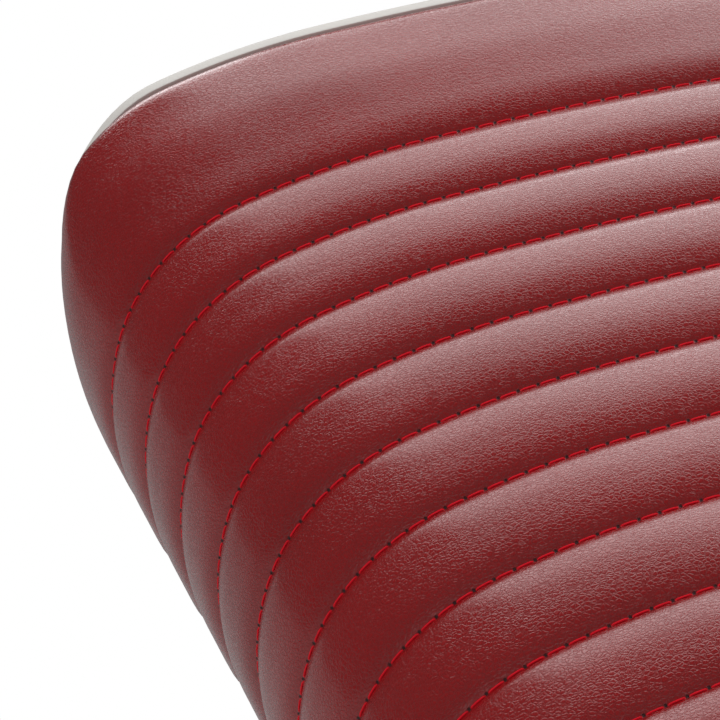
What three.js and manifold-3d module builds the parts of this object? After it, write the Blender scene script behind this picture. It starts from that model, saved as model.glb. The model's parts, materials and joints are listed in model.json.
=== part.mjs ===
// A hydraulic barber chair, shown with its back let down and its leg rest raised.
// Millimetres, +Z up. The origin is the middle of the base plate's underside.
// The sitter faces -Y, and +X is on the right of someone who looks along +Y.
import * as THREE from 'three';
import { mergeVertices } from 'three/addons/utils/BufferGeometryUtils.js';
import Module from 'manifold-3d';

const wasm = await Module();
wasm.setup();

// ---------------------------------------------------------------- driving dimensions

// clearances
const GAP = 0.3; // between pieces that touch
const RUNNING_GAP = 0.5; // between a shaft and its bore
const PASSING_GAP = 2; // between pieces that swing past each other

// base and pump
const BASE_RADIUS = 325;
const BASE_PLATE_THICKNESS = 12;
const TRIM_WIDTH = 14;
const TRIM_HEIGHT = 18;
const COVER_WALL = 3;
const COVER_RISE = 46;
const RAM_RADIUS = 42;
const BUSH_WALL = 3.2;
const HOUSING_BORE = RAM_RADIUS + RUNNING_GAP + BUSH_WALL + GAP;
const HOUSING_RADIUS = HOUSING_BORE + 12;
const HOUSING_TOP = 270;
const SLEEVE_RADIUS = HOUSING_RADIUS + 16;
const GUIDE_RING_HEIGHT = 14;
const RAM_FOOT = 60;
const RAM_SHOWN = 46;

// foot pump
const PUMP_AXIS_X = SLEEVE_RADIUS + 10;
const PUMP_AXIS_Z = 96;
const PUMP_SLOT_DEPTH = 20; // from the pin's middle to the slot's floor
const PUMP_PIN_RADIUS = 6;
const PUMP_LEVER_REACH = 270;
const PUMP_LEVER_RISE = 26;
const PUMP_LEVER_WIDTH = 22;
const LEVER_ROOT_DEPTH = 8; // of the lever's underside below its pin
const PUMP_BLOCK_WIDTH = 64;
const PLUNGER_RADIUS = 5;
const PLUNGER_OFFSET = 20;
const PEDAL_LENGTH = 96;
const PEDAL_WIDTH = 62;
const PEDAL_THICKNESS = 12;
const PEDAL_GROOVES = 5;
const PEDAL_RIB = 1.6;

// seat frame
const HUB_HEIGHT = 40;
const TOP_PLATE_WIDTH = 420;
const TOP_PLATE_DEPTH = 260;
const TOP_PLATE_THICKNESS = 8;
const CYLINDER_RADIUS = 13;
const CYLINDER_RISE = 6; // of the recline cylinder over the top plate
const RAIL_X = 190;
const RAIL_WIDTH = 36;
const RAIL_HEIGHT = 2 * CYLINDER_RADIUS + CYLINDER_RISE + 3;
const RAIL_REAR = 212;
const CROSS_TUBE_WIDTH = 30;
const CROSS_TUBE_HEIGHT = 20;
const PAN_THICKNESS = 12;
const PAN_SIDE_INSET = 14;

// seat cushion
const SEAT_HALF_WIDTH = 245;
const SEAT_THICKNESS = 112;
const SEAT_CHANNEL = 42;
const SEAT_LINES = 9;
const SEAT_FRONT_BAND = 52;
const SEAT_REAR_BAND = 47;
const SEAT_LENGTH = SEAT_FRONT_BAND + (SEAT_LINES - 1) * SEAT_CHANNEL + SEAT_REAR_BAND;
const SEAT_REAR = 160;
const SEAT_FRONT = SEAT_REAR - SEAT_LENGTH;
const RAIL_FRONT = SEAT_FRONT + 13;

// side covers and arms
const SIDE_COVER_GAP = 5; // from the seat cushion
const SIDE_COVER_THICKNESS = 8;
const SIDE_COVER_HEIGHT = 96;
const LEVER_THICKNESS = 8;
const LEVER_PIN_RADIUS = 6;
const COVER_OUTSIDE = SEAT_HALF_WIDTH + SIDE_COVER_GAP + SIDE_COVER_THICKNESS;
const LEVER_OUTSIDE = COVER_OUTSIDE + PASSING_GAP + LEVER_THICKNESS;
const ARM_TUBE_RADIUS = 14;
const ARM_X = LEVER_OUTSIDE + PASSING_GAP + 2 + ARM_TUBE_RADIUS;
const ARM_FRONT = -178;
const ARM_REAR = 150;
const ARM_RISE = 101; // of the tube's middle over the seat
const ARM_BEND = 60;
const ARM_PAD_HALF_WIDTH = 32;
const ARM_PAD_THICKNESS = 32;
const ARM_PAD_LENGTH = 330;
const ARM_PAD_REAR = 76;

// back: the local axes are X, N out of its front, and U up along it, from the hinge axis
const BACK_AXIS_Y = 215;
const BACK_RECLINE = 70; // degrees from upright, as shown
const BACK_TRAVEL = 55; // degrees, from let down to its most upright place
const BACK_FRONT_N = 45;
const BACK_BOTTOM_U = 30;
const BACK_CHANNEL = 42;
const BACK_LINES = 11;
const BACK_TOP_BAND = 96;
const BACK_BOTTOM_BAND = 48;
const BACK_DEPTH = 162;
const RIB_HEIGHT = 6;
const BACK_EDGE_RADIUS = 5;
const BOARD_THICKNESS = 12;
const BOARD_HALF_WIDTH = 212;
const SHELL_HALF_WIDTH = 225;
const SHELL_CORNER = 34;
const SHELL_EDGE = 8;
const SHELL_WALL = 4;
const SHELL_DEPTH = 26;
const SHELL_BAND = 5.5;
const SHELL_BAND_INSET = 1;
const BRACKET_X = RAIL_X - RAIL_WIDTH / 2 - 18;
const BRACKET_THICKNESS = 8;
const AXLE_RADIUS = 8;
const BACK_CRANK = 90;
const CROSSBAR_RADIUS = 7;

// head rest
const STEM_WIDTH = 40;
const STEM_THICKNESS = 8;
const STEM_DEPTH = 150;
const STEM_RISE = 68; // from the top of the shell to its bend
const SOCKET_WALL = 5;
const SOCKET_HEIGHT = 90;
const HEAD_HALF_WIDTH = 128;
const HEAD_LENGTH = 138;
const HEAD_THICKNESS = 56;
const HEAD_CLEARANCE = 120;
const HEAD_FRONT_N = 58;
const HEAD_EYE_RISE = 30;
const HEAD_SHELL_THICKNESS = 10;
const HEAD_EYE_RADIUS = 11;
const HEAD_PIN_RADIUS = 5;
const SCREW_RADIUS = 5;
const KNOB_RADIUS = 24;
const KNOB_LENGTH = 22;
const HANDLE_HALF_WIDTH = 95;
const HANDLE_STAND_OFF = 46;
const HANDLE_RADIUS = 9;
const HANDLE_BELOW_TOP = 150;

// leg rest: local axes X, N out of its front, and V down the shin, from the knee axis
const LEG_AXIS_Y = SEAT_FRONT - 60;
const LEG_TRAVEL = 60; // degrees, coupled to BACK_TRAVEL
const LEG_HANG = 8; // degrees forward of plumb when the back is upright
const LEG_BRACKET_X = BRACKET_X - 4;
const LEG_PAD_HALF_WIDTH = 172;
const LEG_PAD_LINES = 5;
const LEG_PAD_BAND = 42;
const LEG_PAD_END_BAND = 40;
const LEG_PAD_LENGTH = LEG_PAD_BAND + (LEG_PAD_LINES - 1) * BACK_CHANNEL + LEG_PAD_END_BAND;
const LEG_PAD_THICKNESS = 48;
const LEG_PAD_START = 22;
const LEG_BOARD_THICKNESS = 10;
const LEG_FRONT_N = 26;
const FOOT_V = LEG_PAD_START + LEG_PAD_LENGTH + 28;
const FOOT_PLATE_LENGTH = 160;
const FOOT_PLATE_HALF_WIDTH = 142;
const FOOT_PLATE_THICKNESS = 6;
const FOOT_AXIS_N = 44;
const FOOT_PIN_RADIUS = 6;
const TREAD_THICKNESS = 5;

// recline linkage
const LINK_BAR_HEIGHT = 20;
const LINK_BAR_THICKNESS = 8;
const LINK_RISE = 16; // of the bar's middle over the underside of the rails
const SLOT_WALL = 3; // above and below the slots
const CYLINDER_X = 60;
const CYLINDER_LENGTH = 190;
const ROD_RADIUS = 6;

// recline lever
const LEVER_AXIS_Y = 40;
const LEVER_AXIS_RISE = 59; // over the underside of the rails
const LEVER_LENGTH = 120;
const LEVER_TIP_RISE = 22;

// ---------------------------------------------------------------- materials

function finish(color, roughness, metalness) {
  return new THREE.MeshStandardMaterial({ color, roughness, metalness });
}

const LEATHER = finish(0x6e1a20, 0.45, 0);
const SHELL_GREY = finish(0xcdcbc6, 0.5, 0);
const CHROME = finish(0xd8dadc, 0.12, 1);
const STEEL = finish(0x3a3c40, 0.55, 0.6);
const RUBBER = finish(0x1c1c1e, 0.85, 0);
const WOOD = finish(0xa9835a, 0.7, 0);
const PLASTIC = finish(0x26272a, 0.4, 0);

// ---------------------------------------------------------------- shape helpers

const DEGREE = Math.PI / 180;
const ROUND_SIDES = 40;
const SMALL_SIDES = 16;
const TUBE_SIDES = 6;

const chair = new THREE.Group();

function add(parent, name, geometry, material) {
  const mesh = new THREE.Mesh(geometry, material);
  mesh.name = name;
  parent.add(mesh);
  return mesh;
}

// A box given by its lowest and highest corners.
function block(low, high) {
  const size = high.map((value, i) => value - low[i]);
  const geometry = new THREE.BoxGeometry(...size);
  geometry.translate(...high.map((value, i) => (value + low[i]) / 2));
  return geometry;
}

// A solid of revolution about Z. Each point is [radius, z], and the outline closes on itself.
function turned(points, sides = ROUND_SIDES) {
  const outline = points.map(([radius, z]) => new THREE.Vector2(radius, z));
  const closed = outline[0].x > 0 || outline[outline.length - 1].x > 0;
  if (closed) {
    outline.push(outline[0].clone());
  }
  const geometry = new THREE.LatheGeometry(outline, sides);
  geometry.rotateX(90 * DEGREE);
  return geometry;
}

// A round bar along X between two ends.
function barAlongX(radius, from, to, sides = SMALL_SIDES) {
  const geometry = new THREE.CylinderGeometry(radius, radius, to - from, sides);
  geometry.rotateZ(90 * DEGREE);
  geometry.translate((from + to) / 2, 0, 0);
  return geometry;
}

// A round bar along Y between two ends.
function barAlongY(radius, from, to, sides = SMALL_SIDES) {
  const geometry = new THREE.CylinderGeometry(radius, radius, to - from, sides);
  geometry.translate(0, (from + to) / 2, 0);
  return geometry;
}

// An upright round bar between two heights.
function barAlongZ(radius, from, to, sides = SMALL_SIDES) {
  const geometry = new THREE.CylinderGeometry(radius, radius, to - from, sides);
  geometry.rotateX(90 * DEGREE);
  geometry.translate(0, 0, (from + to) / 2);
  return geometry;
}

// A flat plate whose outline lies in the YZ plane, with its middle at x.
function sidePlate(shape, x, thickness, curveSegments = 8) {
  const settings = { depth: thickness, bevelEnabled: false, curveSegments };
  const geometry = new THREE.ExtrudeGeometry(shape, settings);
  geometry.rotateZ(90 * DEGREE);
  geometry.rotateY(90 * DEGREE);
  geometry.translate(x - thickness / 2, 0, 0);
  return geometry;
}

function roundHole(y, z, radius) {
  const hole = new THREE.Path();
  hole.absarc(y, z, radius, 0, 2 * Math.PI, true);
  return hole;
}

// An upright slot, its two ends round.
function slotHole(y, z, radius, reach) {
  const hole = new THREE.Path();
  hole.absarc(y, z + reach, radius, 0, Math.PI, false);
  hole.absarc(y, z - reach, radius, Math.PI, 2 * Math.PI, false);
  hole.closePath();
  return hole;
}

// The outline round two or more circles [y, z, radius], given in anticlockwise order.
function strapOutline(circles) {
  const shape = new THREE.Shape();
  const turn = circles.map(([y, z, radius], i) => {
    const [nextY, nextZ, nextRadius] = circles[(i + 1) % circles.length];
    const distance = Math.hypot(nextY - y, nextZ - z);
    const heading = Math.atan2(nextZ - z, nextY - y);
    return heading - Math.acos((radius - nextRadius) / distance);
  });
  circles.forEach(([y, z, radius], i) => {
    const start = turn[(i + circles.length - 1) % circles.length];
    shape.absarc(y, z, radius, start, turn[i], false);
  });
  shape.closePath();
  return shape;
}

// A bent round tube through the given points.
function bentTube(points, bend, radius, steps) {
  const route = new THREE.CurvePath();
  let from = points[0];
  for (let i = 1; i < points.length - 1; i += 1) {
    const corner = points[i];
    const inward = corner.clone().sub(points[i - 1]).setLength(bend);
    const outward = points[i + 1].clone().sub(corner).setLength(bend);
    const arrive = corner.clone().sub(inward);
    const leave = corner.clone().add(outward);
    route.add(new THREE.LineCurve3(from, arrive));
    route.add(new THREE.QuadraticBezierCurve3(arrive, corner, leave));
    from = leave;
  }
  route.add(new THREE.LineCurve3(from, points[points.length - 1]));
  const section = new THREE.Shape();
  section.absarc(0, 0, radius, 0, 2 * Math.PI, false);
  const settings = { steps, extrudePath: route, bevelEnabled: false, curveSegments: TUBE_SIDES };
  return new THREE.ExtrudeGeometry(section, settings);
}

// ---------------------------------------------------------------- boolean helpers

function toSolid(geometry) {
  const bare = geometry.index ? geometry.toNonIndexed() : geometry.clone();
  bare.deleteAttribute('normal');
  bare.deleteAttribute('uv');
  const merged = mergeVertices(bare, 1e-4);
  const mesh = new wasm.Mesh({
    numProp: 3,
    vertProperties: new Float32Array(merged.attributes.position.array),
    triVerts: new Uint32Array(merged.index.array),
  });
  return new wasm.Manifold(mesh);
}

function toGeometry(solid) {
  const mesh = solid.getMesh();
  const geometry = new THREE.BufferGeometry();
  geometry.setAttribute('position', new THREE.BufferAttribute(mesh.vertProperties, 3));
  geometry.setIndex(new THREE.BufferAttribute(mesh.triVerts, 1));
  geometry.computeVertexNormals();
  return geometry;
}

function cut(geometry, ...tools) {
  const solid = tools.reduce((rest, tool) => rest.subtract(toSolid(tool)), toSolid(geometry));
  return toGeometry(solid);
}

function join(geometry, ...others) {
  const solid = others.reduce((rest, other) => rest.add(toSolid(other)), toSolid(geometry));
  return toGeometry(solid);
}

// ---------------------------------------------------------------- padded forms

// Half of a pad's cross section, from its middle to its side. Each arc is
// [radius, turn in degrees, steps], and all of them meet smoothly. The last arc ends at
// the side or wraps past it, and the section goes on straight to the pad's flat underside.
function halfSection(arcs, depth, proud) {
  const points = [[0, proud]];
  let heading = 0;
  let centreX = 0;
  let centreN = -arcs[0][0];
  let radius = arcs[0][0] + proud;
  arcs.forEach(([arcRadius, turn, steps], index) => {
    if (index > 0) {
      const nextRadius = arcRadius + proud;
      centreX += (radius - nextRadius) * Math.sin(heading);
      centreN += (radius - nextRadius) * Math.cos(heading);
      radius = nextRadius;
    }
    for (let step = 1; step <= steps; step += 1) {
      const angle = heading + (turn * DEGREE * step) / steps;
      points.push([centreX + radius * Math.sin(angle), centreN + radius * Math.cos(angle)]);
    }
    heading += turn * DEGREE;
  });
  const [endX, endN] = points[points.length - 1];
  points.push([endX + (endN + depth) / Math.tan(heading), -depth]);
  return points;
}

// The whole section as a loop of [x, n], from the left underside over the top.
function sectionLoop(arcs, depth, proud) {
  const right = halfSection(arcs, depth, proud);
  const left = right.slice(1).map(([x, n]) => [-x, n]);
  return [...left.reverse(), ...right];
}

// The arcs of a plain pad: a shallow crown that ends in a rounded corner.
function crownedArcs(halfWidth, crown, corner, crownSteps, cornerSteps) {
  const crownTurn = Math.asin((halfWidth - corner) / (crown - corner)) / DEGREE;
  return [[crown, crownTurn, crownSteps], [corner, 90 - crownTurn, cornerSteps]];
}

// Rows along a pad, as [distance along it, how proud its surface stands].
function padRows({ length, lines, startRadius, endRadius, rib, band }) {
  const EDGE_STEPS = 4;
  const rows = [];
  const bandProud = band * rib;
  for (let step = 0; step <= EDGE_STEPS; step += 1) {
    const angle = (90 * DEGREE * step) / EDGE_STEPS;
    rows.push([
      startRadius * (1 - Math.cos(angle)),
      bandProud - startRadius * (1 - Math.sin(angle)),
    ]);
  }
  lines.forEach((line, index) => {
    const before = index === 0 ? startRadius : lines[index - 1];
    const after = index === lines.length - 1 ? length - endRadius : lines[index + 1];
    rows.push([line - 0.22 * Math.min(line - before, after - line), rib * 0.85]);
    rows.push([line, 0]);
    rows.push([line + 0.22 * Math.min(line - before, after - line), rib * 0.85]);
  });
  for (let step = EDGE_STEPS; step >= 0; step -= 1) {
    const angle = (90 * DEGREE * step) / EDGE_STEPS;
    rows.push([
      length - endRadius * (1 - Math.cos(angle)),
      bandProud - endRadius * (1 - Math.sin(angle)),
    ]);
  }
  return rows;
}

// A pad with sewn channels across it. Its local axes are X, N out of its face and U along it.
function channelledPad({ arcs, depth, ...rowSettings }) {
  const rows = padRows(rowSettings);
  const loops = rows.map(([along, proud]) =>
    sectionLoop(arcs, depth, proud).map(([x, n]) => [x, along, n]),
  );
  const count = loops[0].length;
  const positions = loops.flat(2);
  const faces = [];
  for (let row = 0; row < loops.length - 1; row += 1) {
    for (let i = 0; i < count; i += 1) {
      const next = (i + 1) % count;
      const a = row * count + i;
      const b = row * count + next;
      const c = (row + 1) * count + next;
      const d = (row + 1) * count + i;
      faces.push(a, b, c, a, c, d);
    }
  }
  const last = (loops.length - 1) * count;
  for (let i = 1; i < count - 1; i += 1) {
    faces.push(0, i + 1, i);
    faces.push(last, last + i, last + i + 1);
  }
  const geometry = new THREE.BufferGeometry();
  geometry.setAttribute('position', new THREE.Float32BufferAttribute(positions, 3));
  geometry.setIndex(faces);
  return geometry;
}

// Evenly spaced stitch lines.
function stitchLines(first, pitch, count) {
  return Array.from({ length: count }, (_, index) => first + pitch * index);
}

// ---------------------------------------------------------------- base and pump

const PLATE_TOP = BASE_PLATE_THICKNESS;
const COVER_FOOT = PLATE_TOP + GAP;
const COVER_INNER_RADIUS = SLEEVE_RADIUS + GAP + 3;
const COVER_OUTER_RADIUS = BASE_RADIUS - TRIM_WIDTH - GAP;
const COVER_TOP = COVER_FOOT + COVER_WALL + COVER_RISE;

function coverHeight(radius) {
  const share = (radius - COVER_INNER_RADIUS) / (COVER_OUTER_RADIUS - COVER_INNER_RADIUS);
  return COVER_TOP - COVER_RISE * share ** 1.8;
}

function makeBase() {
  const plateRadius = BASE_RADIUS - TRIM_WIDTH - GAP;
  const plate = turned([[0, 0], [plateRadius, 0], [plateRadius, PLATE_TOP], [0, PLATE_TOP]]);
  add(chair, 'base_plate', plate, STEEL);

  const inner = BASE_RADIUS - TRIM_WIDTH;
  const trim = turned([
    [inner, 0],
    [BASE_RADIUS - 3, 0],
    [BASE_RADIUS, 4],
    [BASE_RADIUS, TRIM_HEIGHT - 5],
    [BASE_RADIUS - 4, TRIM_HEIGHT],
    [inner, TRIM_HEIGHT],
  ]);
  add(chair, 'base_trim_ring', trim, RUBBER);

  const STEPS = 6;
  const outer = [];
  const underside = [];
  for (let step = 0; step <= STEPS; step += 1) {
    const share = step / STEPS;
    const radius = THREE.MathUtils.lerp(COVER_OUTER_RADIUS, COVER_INNER_RADIUS, share);
    outer.push([radius, coverHeight(radius)]);
    const under = radius - COVER_WALL * (1 - share);
    underside.unshift([under, coverHeight(radius) - COVER_WALL]);
  }
  add(chair, 'base_cover', turned([...outer, ...underside]), CHROME);
}

function makePump() {
  const bottom = PLATE_TOP + GAP;
  const boreFloor = RAM_FOOT - 20;
  const housing = turned([
    [0, bottom],
    [HOUSING_RADIUS, bottom],
    [HOUSING_RADIUS, HOUSING_TOP],
    [HOUSING_BORE, HOUSING_TOP],
    [HOUSING_BORE, boreFloor],
    [0, boreFloor],
  ]);
  add(chair, 'pump_housing', housing, STEEL);

  const bushInner = RAM_RADIUS + RUNNING_GAP;
  const bushOuter = bushInner + BUSH_WALL;
  const bush = turned([
    [bushInner, HOUSING_TOP - 64],
    [bushOuter, HOUSING_TOP - 64],
    [bushOuter, HOUSING_TOP - 6],
    [bushInner, HOUSING_TOP - 6],
  ]);
  add(chair, 'ram_bush', bush, PLASTIC);

  const ringFoot = HOUSING_TOP + GAP;
  const ring = turned([
    [bushInner, ringFoot],
    [HOUSING_RADIUS, ringFoot],
    [HOUSING_RADIUS, ringFoot + GUIDE_RING_HEIGHT - 5],
    [HOUSING_RADIUS - 6, ringFoot + GUIDE_RING_HEIGHT],
    [bushInner, ringFoot + GUIDE_RING_HEIGHT],
  ]);
  add(chair, 'wiper_ring', ring, RUBBER);

  const sleeveFoot = COVER_TOP - COVER_WALL + GAP;
  const sleeveTop = HOUSING_TOP - 8;
  const neck = HOUSING_RADIUS + GAP;
  const sleeve = turned([
    [SLEEVE_RADIUS - COVER_WALL, sleeveFoot],
    [SLEEVE_RADIUS, sleeveFoot],
    [SLEEVE_RADIUS, sleeveTop - 8],
    [SLEEVE_RADIUS - 8, sleeveTop],
    [neck, sleeveTop],
    [neck, sleeveTop - COVER_WALL],
    [SLEEVE_RADIUS - 9, sleeveTop - COVER_WALL],
    [SLEEVE_RADIUS - COVER_WALL, sleeveTop - 9],
  ]);
  const blockHalf = PUMP_BLOCK_WIDTH / 2 + GAP;
  const window = block([0, -blockHalf, 0], [2 * SLEEVE_RADIUS, blockHalf, PUMP_AXIS_Z + 18]);
  add(chair, 'pump_sleeve', cut(sleeve, window), CHROME);
}

// The foot pump stands through a window in the sleeve, on the chair's +X side.
const PUMP_BLOCK_BOTTOM = COVER_TOP + 2;
const PUMP_BLOCK_END = PUMP_AXIS_X + PLUNGER_OFFSET + PLUNGER_RADIUS + 11;

function makeFootPump() {
  const half = PUMP_BLOCK_WIDTH / 2;
  const slotHalf = PUMP_LEVER_WIDTH / 2 + 1;
  const body = block(
    [HOUSING_RADIUS - 6, -half, PUMP_BLOCK_BOTTOM],
    [PUMP_BLOCK_END, half, PUMP_AXIS_Z + 16],
  );
  const slot = block(
    [PUMP_AXIS_X - 14, -slotHalf, PUMP_AXIS_Z - PUMP_SLOT_DEPTH],
    [PUMP_BLOCK_END + 10, slotHalf, PUMP_AXIS_Z + 40],
  );
  const housingClear = turned([
    [0, 0],
    [HOUSING_RADIUS + GAP, 0],
    [HOUSING_RADIUS + GAP, HOUSING_TOP],
    [0, HOUSING_TOP],
  ]);
  const plungerX = PUMP_AXIS_X + PLUNGER_OFFSET;
  const plungerFoot = PUMP_BLOCK_BOTTOM + 8;
  const bore = barAlongZ(PLUNGER_RADIUS + RUNNING_GAP, PUMP_BLOCK_BOTTOM + 2, PUMP_AXIS_Z);
  bore.translate(plungerX, 0, 0);
  const pinBore = barAlongY(PUMP_PIN_RADIUS + GAP, -half - 5, half + 5);
  pinBore.translate(PUMP_AXIS_X, 0, PUMP_AXIS_Z);
  add(chair, 'pump_block', cut(body, slot, housingClear, bore, pinBore), STEEL);

  const pin = barAlongY(PUMP_PIN_RADIUS, -half - 4, half + 4);
  pin.translate(PUMP_AXIS_X, 0, PUMP_AXIS_Z);
  add(chair, 'pump_lever_pin', pin, CHROME);

  const plungerTop = PUMP_AXIS_Z - LEVER_ROOT_DEPTH - GAP;
  const plunger = barAlongZ(PLUNGER_RADIUS, plungerFoot, plungerTop);
  plunger.translate(plungerX, 0, 0);
  add(chair, 'pump_plunger', plunger, CHROME);

  const tip = PUMP_AXIS_X + PUMP_LEVER_REACH;
  const padStart = tip - PEDAL_LENGTH;
  const shape = new THREE.Shape();
  shape.moveTo(PUMP_AXIS_X - 11, PUMP_AXIS_Z - LEVER_ROOT_DEPTH);
  shape.lineTo(PUMP_AXIS_X + 60, PUMP_AXIS_Z - LEVER_ROOT_DEPTH);
  shape.lineTo(padStart, PUMP_AXIS_Z + PUMP_LEVER_RISE - 14);
  shape.lineTo(tip, PUMP_AXIS_Z + PUMP_LEVER_RISE - 12);
  shape.lineTo(tip, PUMP_AXIS_Z + PUMP_LEVER_RISE);
  shape.lineTo(padStart - 6, PUMP_AXIS_Z + PUMP_LEVER_RISE);
  shape.lineTo(PUMP_AXIS_X + 56, PUMP_AXIS_Z + 9);
  shape.lineTo(PUMP_AXIS_X - 11, PUMP_AXIS_Z + 9);
  shape.closePath();
  shape.holes.push(roundHole(PUMP_AXIS_X, PUMP_AXIS_Z, PUMP_PIN_RADIUS + RUNNING_GAP));
  const lever = new THREE.ExtrudeGeometry(shape, {
    depth: PUMP_LEVER_WIDTH,
    bevelEnabled: false,
    curveSegments: 16,
  });
  lever.rotateX(90 * DEGREE);
  lever.translate(0, PUMP_LEVER_WIDTH / 2, 0);
  add(chair, 'pump_lever', lever, CHROME);

  const padFoot = PUMP_AXIS_Z + PUMP_LEVER_RISE + GAP;
  const groovePitch = PEDAL_LENGTH / (PEDAL_GROOVES + 1);
  const pad = channelledPad({
    arcs: crownedArcs(PEDAL_WIDTH / 2 - PEDAL_RIB, 260, 8, 2, 3),
    depth: PEDAL_THICKNESS,
    length: PEDAL_LENGTH,
    lines: stitchLines(groovePitch, groovePitch, PEDAL_GROOVES),
    startRadius: 4,
    endRadius: 4,
    rib: PEDAL_RIB,
    band: 1,
  });
  pad.rotateZ(-90 * DEGREE);
  pad.translate(padStart, 0, padFoot + PEDAL_THICKNESS);
  add(chair, 'pedal_pad', pad, RUBBER);
}

function makeRam() {
  const top = HOUSING_TOP + GUIDE_RING_HEIGHT + RAM_SHOWN;
  const ram = turned([[0, RAM_FOOT], [RAM_RADIUS, RAM_FOOT], [RAM_RADIUS, top], [0, top]]);
  add(chair, 'lift_ram', ram, CHROME);
  return top;
}

// ---------------------------------------------------------------- seat frame

makeBase();
makePump();
makeFootPump();
const RAM_TOP = makeRam();

const HUB_TOP = RAM_TOP + RUNNING_GAP + 22;
const HUB_BOTTOM = HUB_TOP - HUB_HEIGHT;
const TOP_PLATE_TOP = HUB_TOP + GAP + TOP_PLATE_THICKNESS;
const RAIL_BOTTOM = TOP_PLATE_TOP + GAP;
const RAIL_TOP = RAIL_BOTTOM + RAIL_HEIGHT;
const PAN_BOTTOM = RAIL_TOP + GAP;
const CUSHION_BOTTOM = PAN_BOTTOM + PAN_THICKNESS + GAP;
const SEAT_TOP = CUSHION_BOTTOM + SEAT_THICKNESS;
const ARM_TOP = SEAT_TOP + ARM_RISE;
const LEVER_AXIS_Z = RAIL_BOTTOM + LEVER_AXIS_RISE;
const SIDES = [['left', -1], ['right', 1]];

function makeSeatFrame() {
  const pocket = RAM_RADIUS + RUNNING_GAP;
  const hub = turned([
    [0, RAM_TOP + RUNNING_GAP],
    [pocket, RAM_TOP + RUNNING_GAP],
    [pocket, HUB_BOTTOM],
    [pocket + 16, HUB_BOTTOM],
    [pocket + 16, HUB_TOP - 12],
    [pocket + 36, HUB_TOP],
    [0, HUB_TOP],
  ]);
  add(chair, 'swivel_hub', hub, STEEL);

  const topPlate = block(
    [-TOP_PLATE_WIDTH / 2, -TOP_PLATE_DEPTH / 2, HUB_TOP + GAP],
    [TOP_PLATE_WIDTH / 2, TOP_PLATE_DEPTH / 2, TOP_PLATE_TOP],
  );
  add(chair, 'top_plate', topPlate, STEEL);

  const reach = ARM_X + ARM_TUBE_RADIUS;
  for (const [end, y] of [['front', ARM_FRONT], ['rear', ARM_REAR]]) {
    const low = [-reach, y - CROSS_TUBE_WIDTH / 2, TOP_PLATE_TOP - CROSS_TUBE_HEIGHT];
    const tube = block(low, [reach, y + CROSS_TUBE_WIDTH / 2, TOP_PLATE_TOP]);
    add(chair, `cross_tube_${end}`, tube, STEEL);
  }

  for (const [side, sign] of SIDES) {
    const rail = block(
      [-RAIL_WIDTH / 2, RAIL_FRONT, RAIL_BOTTOM],
      [RAIL_WIDTH / 2, RAIL_REAR, RAIL_TOP],
    );
    rail.translate(sign * RAIL_X, 0, 0);
    add(chair, `seat_rail_${side}`, rail, STEEL);
  }

  const panHalf = SEAT_HALF_WIDTH - PAN_SIDE_INSET;
  const pan = block(
    [-panHalf, SEAT_FRONT + 14, PAN_BOTTOM],
    [panHalf, SEAT_REAR - 10, PAN_BOTTOM + PAN_THICKNESS],
  );
  add(chair, 'seat_pan', pan, WOOD);
}

// The stitched surface of the seat is RIB_HEIGHT inside its half width.
function makeSeatCushion() {
  const cushion = channelledPad({
    arcs: crownedArcs(SEAT_HALF_WIDTH - RIB_HEIGHT, 1500, 48, 3, 5),
    depth: SEAT_THICKNESS,
    length: SEAT_LENGTH,
    lines: stitchLines(SEAT_FRONT_BAND, SEAT_CHANNEL, SEAT_LINES),
    startRadius: 30,
    endRadius: 14,
    rib: RIB_HEIGHT,
    band: 0.85,
  });
  cushion.translate(0, SEAT_FRONT, SEAT_TOP);
  add(chair, 'seat_cushion', cushion, LEATHER);
}

function makeSideCovers() {
  const middle = COVER_OUTSIDE - SIDE_COVER_THICKNESS / 2;
  const bottom = RAIL_BOTTOM;
  const top = bottom + SIDE_COVER_HEIGHT;
  const corner = 30;
  const front = SEAT_FRONT + 5;
  const rear = SEAT_REAR - 30;
  for (const [side, sign] of SIDES) {
    const shape = new THREE.Shape();
    shape.moveTo(front, bottom);
    shape.lineTo(rear, bottom);
    shape.lineTo(rear, top - corner);
    shape.absarc(rear - corner, top - corner, corner, 0, Math.PI / 2, false);
    shape.absarc(front + corner, top - corner, corner, Math.PI / 2, Math.PI, false);
    shape.closePath();
    if (side === 'right') {
      shape.holes.push(roundHole(LEVER_AXIS_Y, LEVER_AXIS_Z, LEVER_PIN_RADIUS + GAP));
    }
    const cover = sidePlate(shape, sign * middle, SIDE_COVER_THICKNESS);
    add(chair, `side_cover_${side}`, cover, SHELL_GREY);
  }
}

function makeArms() {
  const padBottom = ARM_TOP + ARM_TUBE_RADIUS + GAP;
  for (const [side, sign] of SIDES) {
    const x = sign * ARM_X;
    const corners = [
      new THREE.Vector3(x, ARM_FRONT, TOP_PLATE_TOP + GAP),
      new THREE.Vector3(x, ARM_FRONT, ARM_TOP),
      new THREE.Vector3(x, ARM_REAR, ARM_TOP),
      new THREE.Vector3(x, ARM_REAR, TOP_PLATE_TOP + GAP),
    ];
    add(chair, `arm_frame_${side}`, bentTube(corners, ARM_BEND, ARM_TUBE_RADIUS, 32), CHROME);

    const pad = channelledPad({
      arcs: crownedArcs(ARM_PAD_HALF_WIDTH, 160, 14, 2, 4),
      depth: ARM_PAD_THICKNESS,
      length: ARM_PAD_LENGTH,
      lines: [],
      startRadius: 13,
      endRadius: 13,
      rib: 0,
      band: 0,
    });
    pad.translate(x, ARM_PAD_REAR - ARM_PAD_LENGTH, padBottom + ARM_PAD_THICKNESS);
    add(chair, `arm_pad_${side}`, pad, LEATHER);
  }
}

makeSeatFrame();
makeSeatCushion();
makeSideCovers();
makeArms();

// ---------------------------------------------------------------- linkage places

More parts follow.
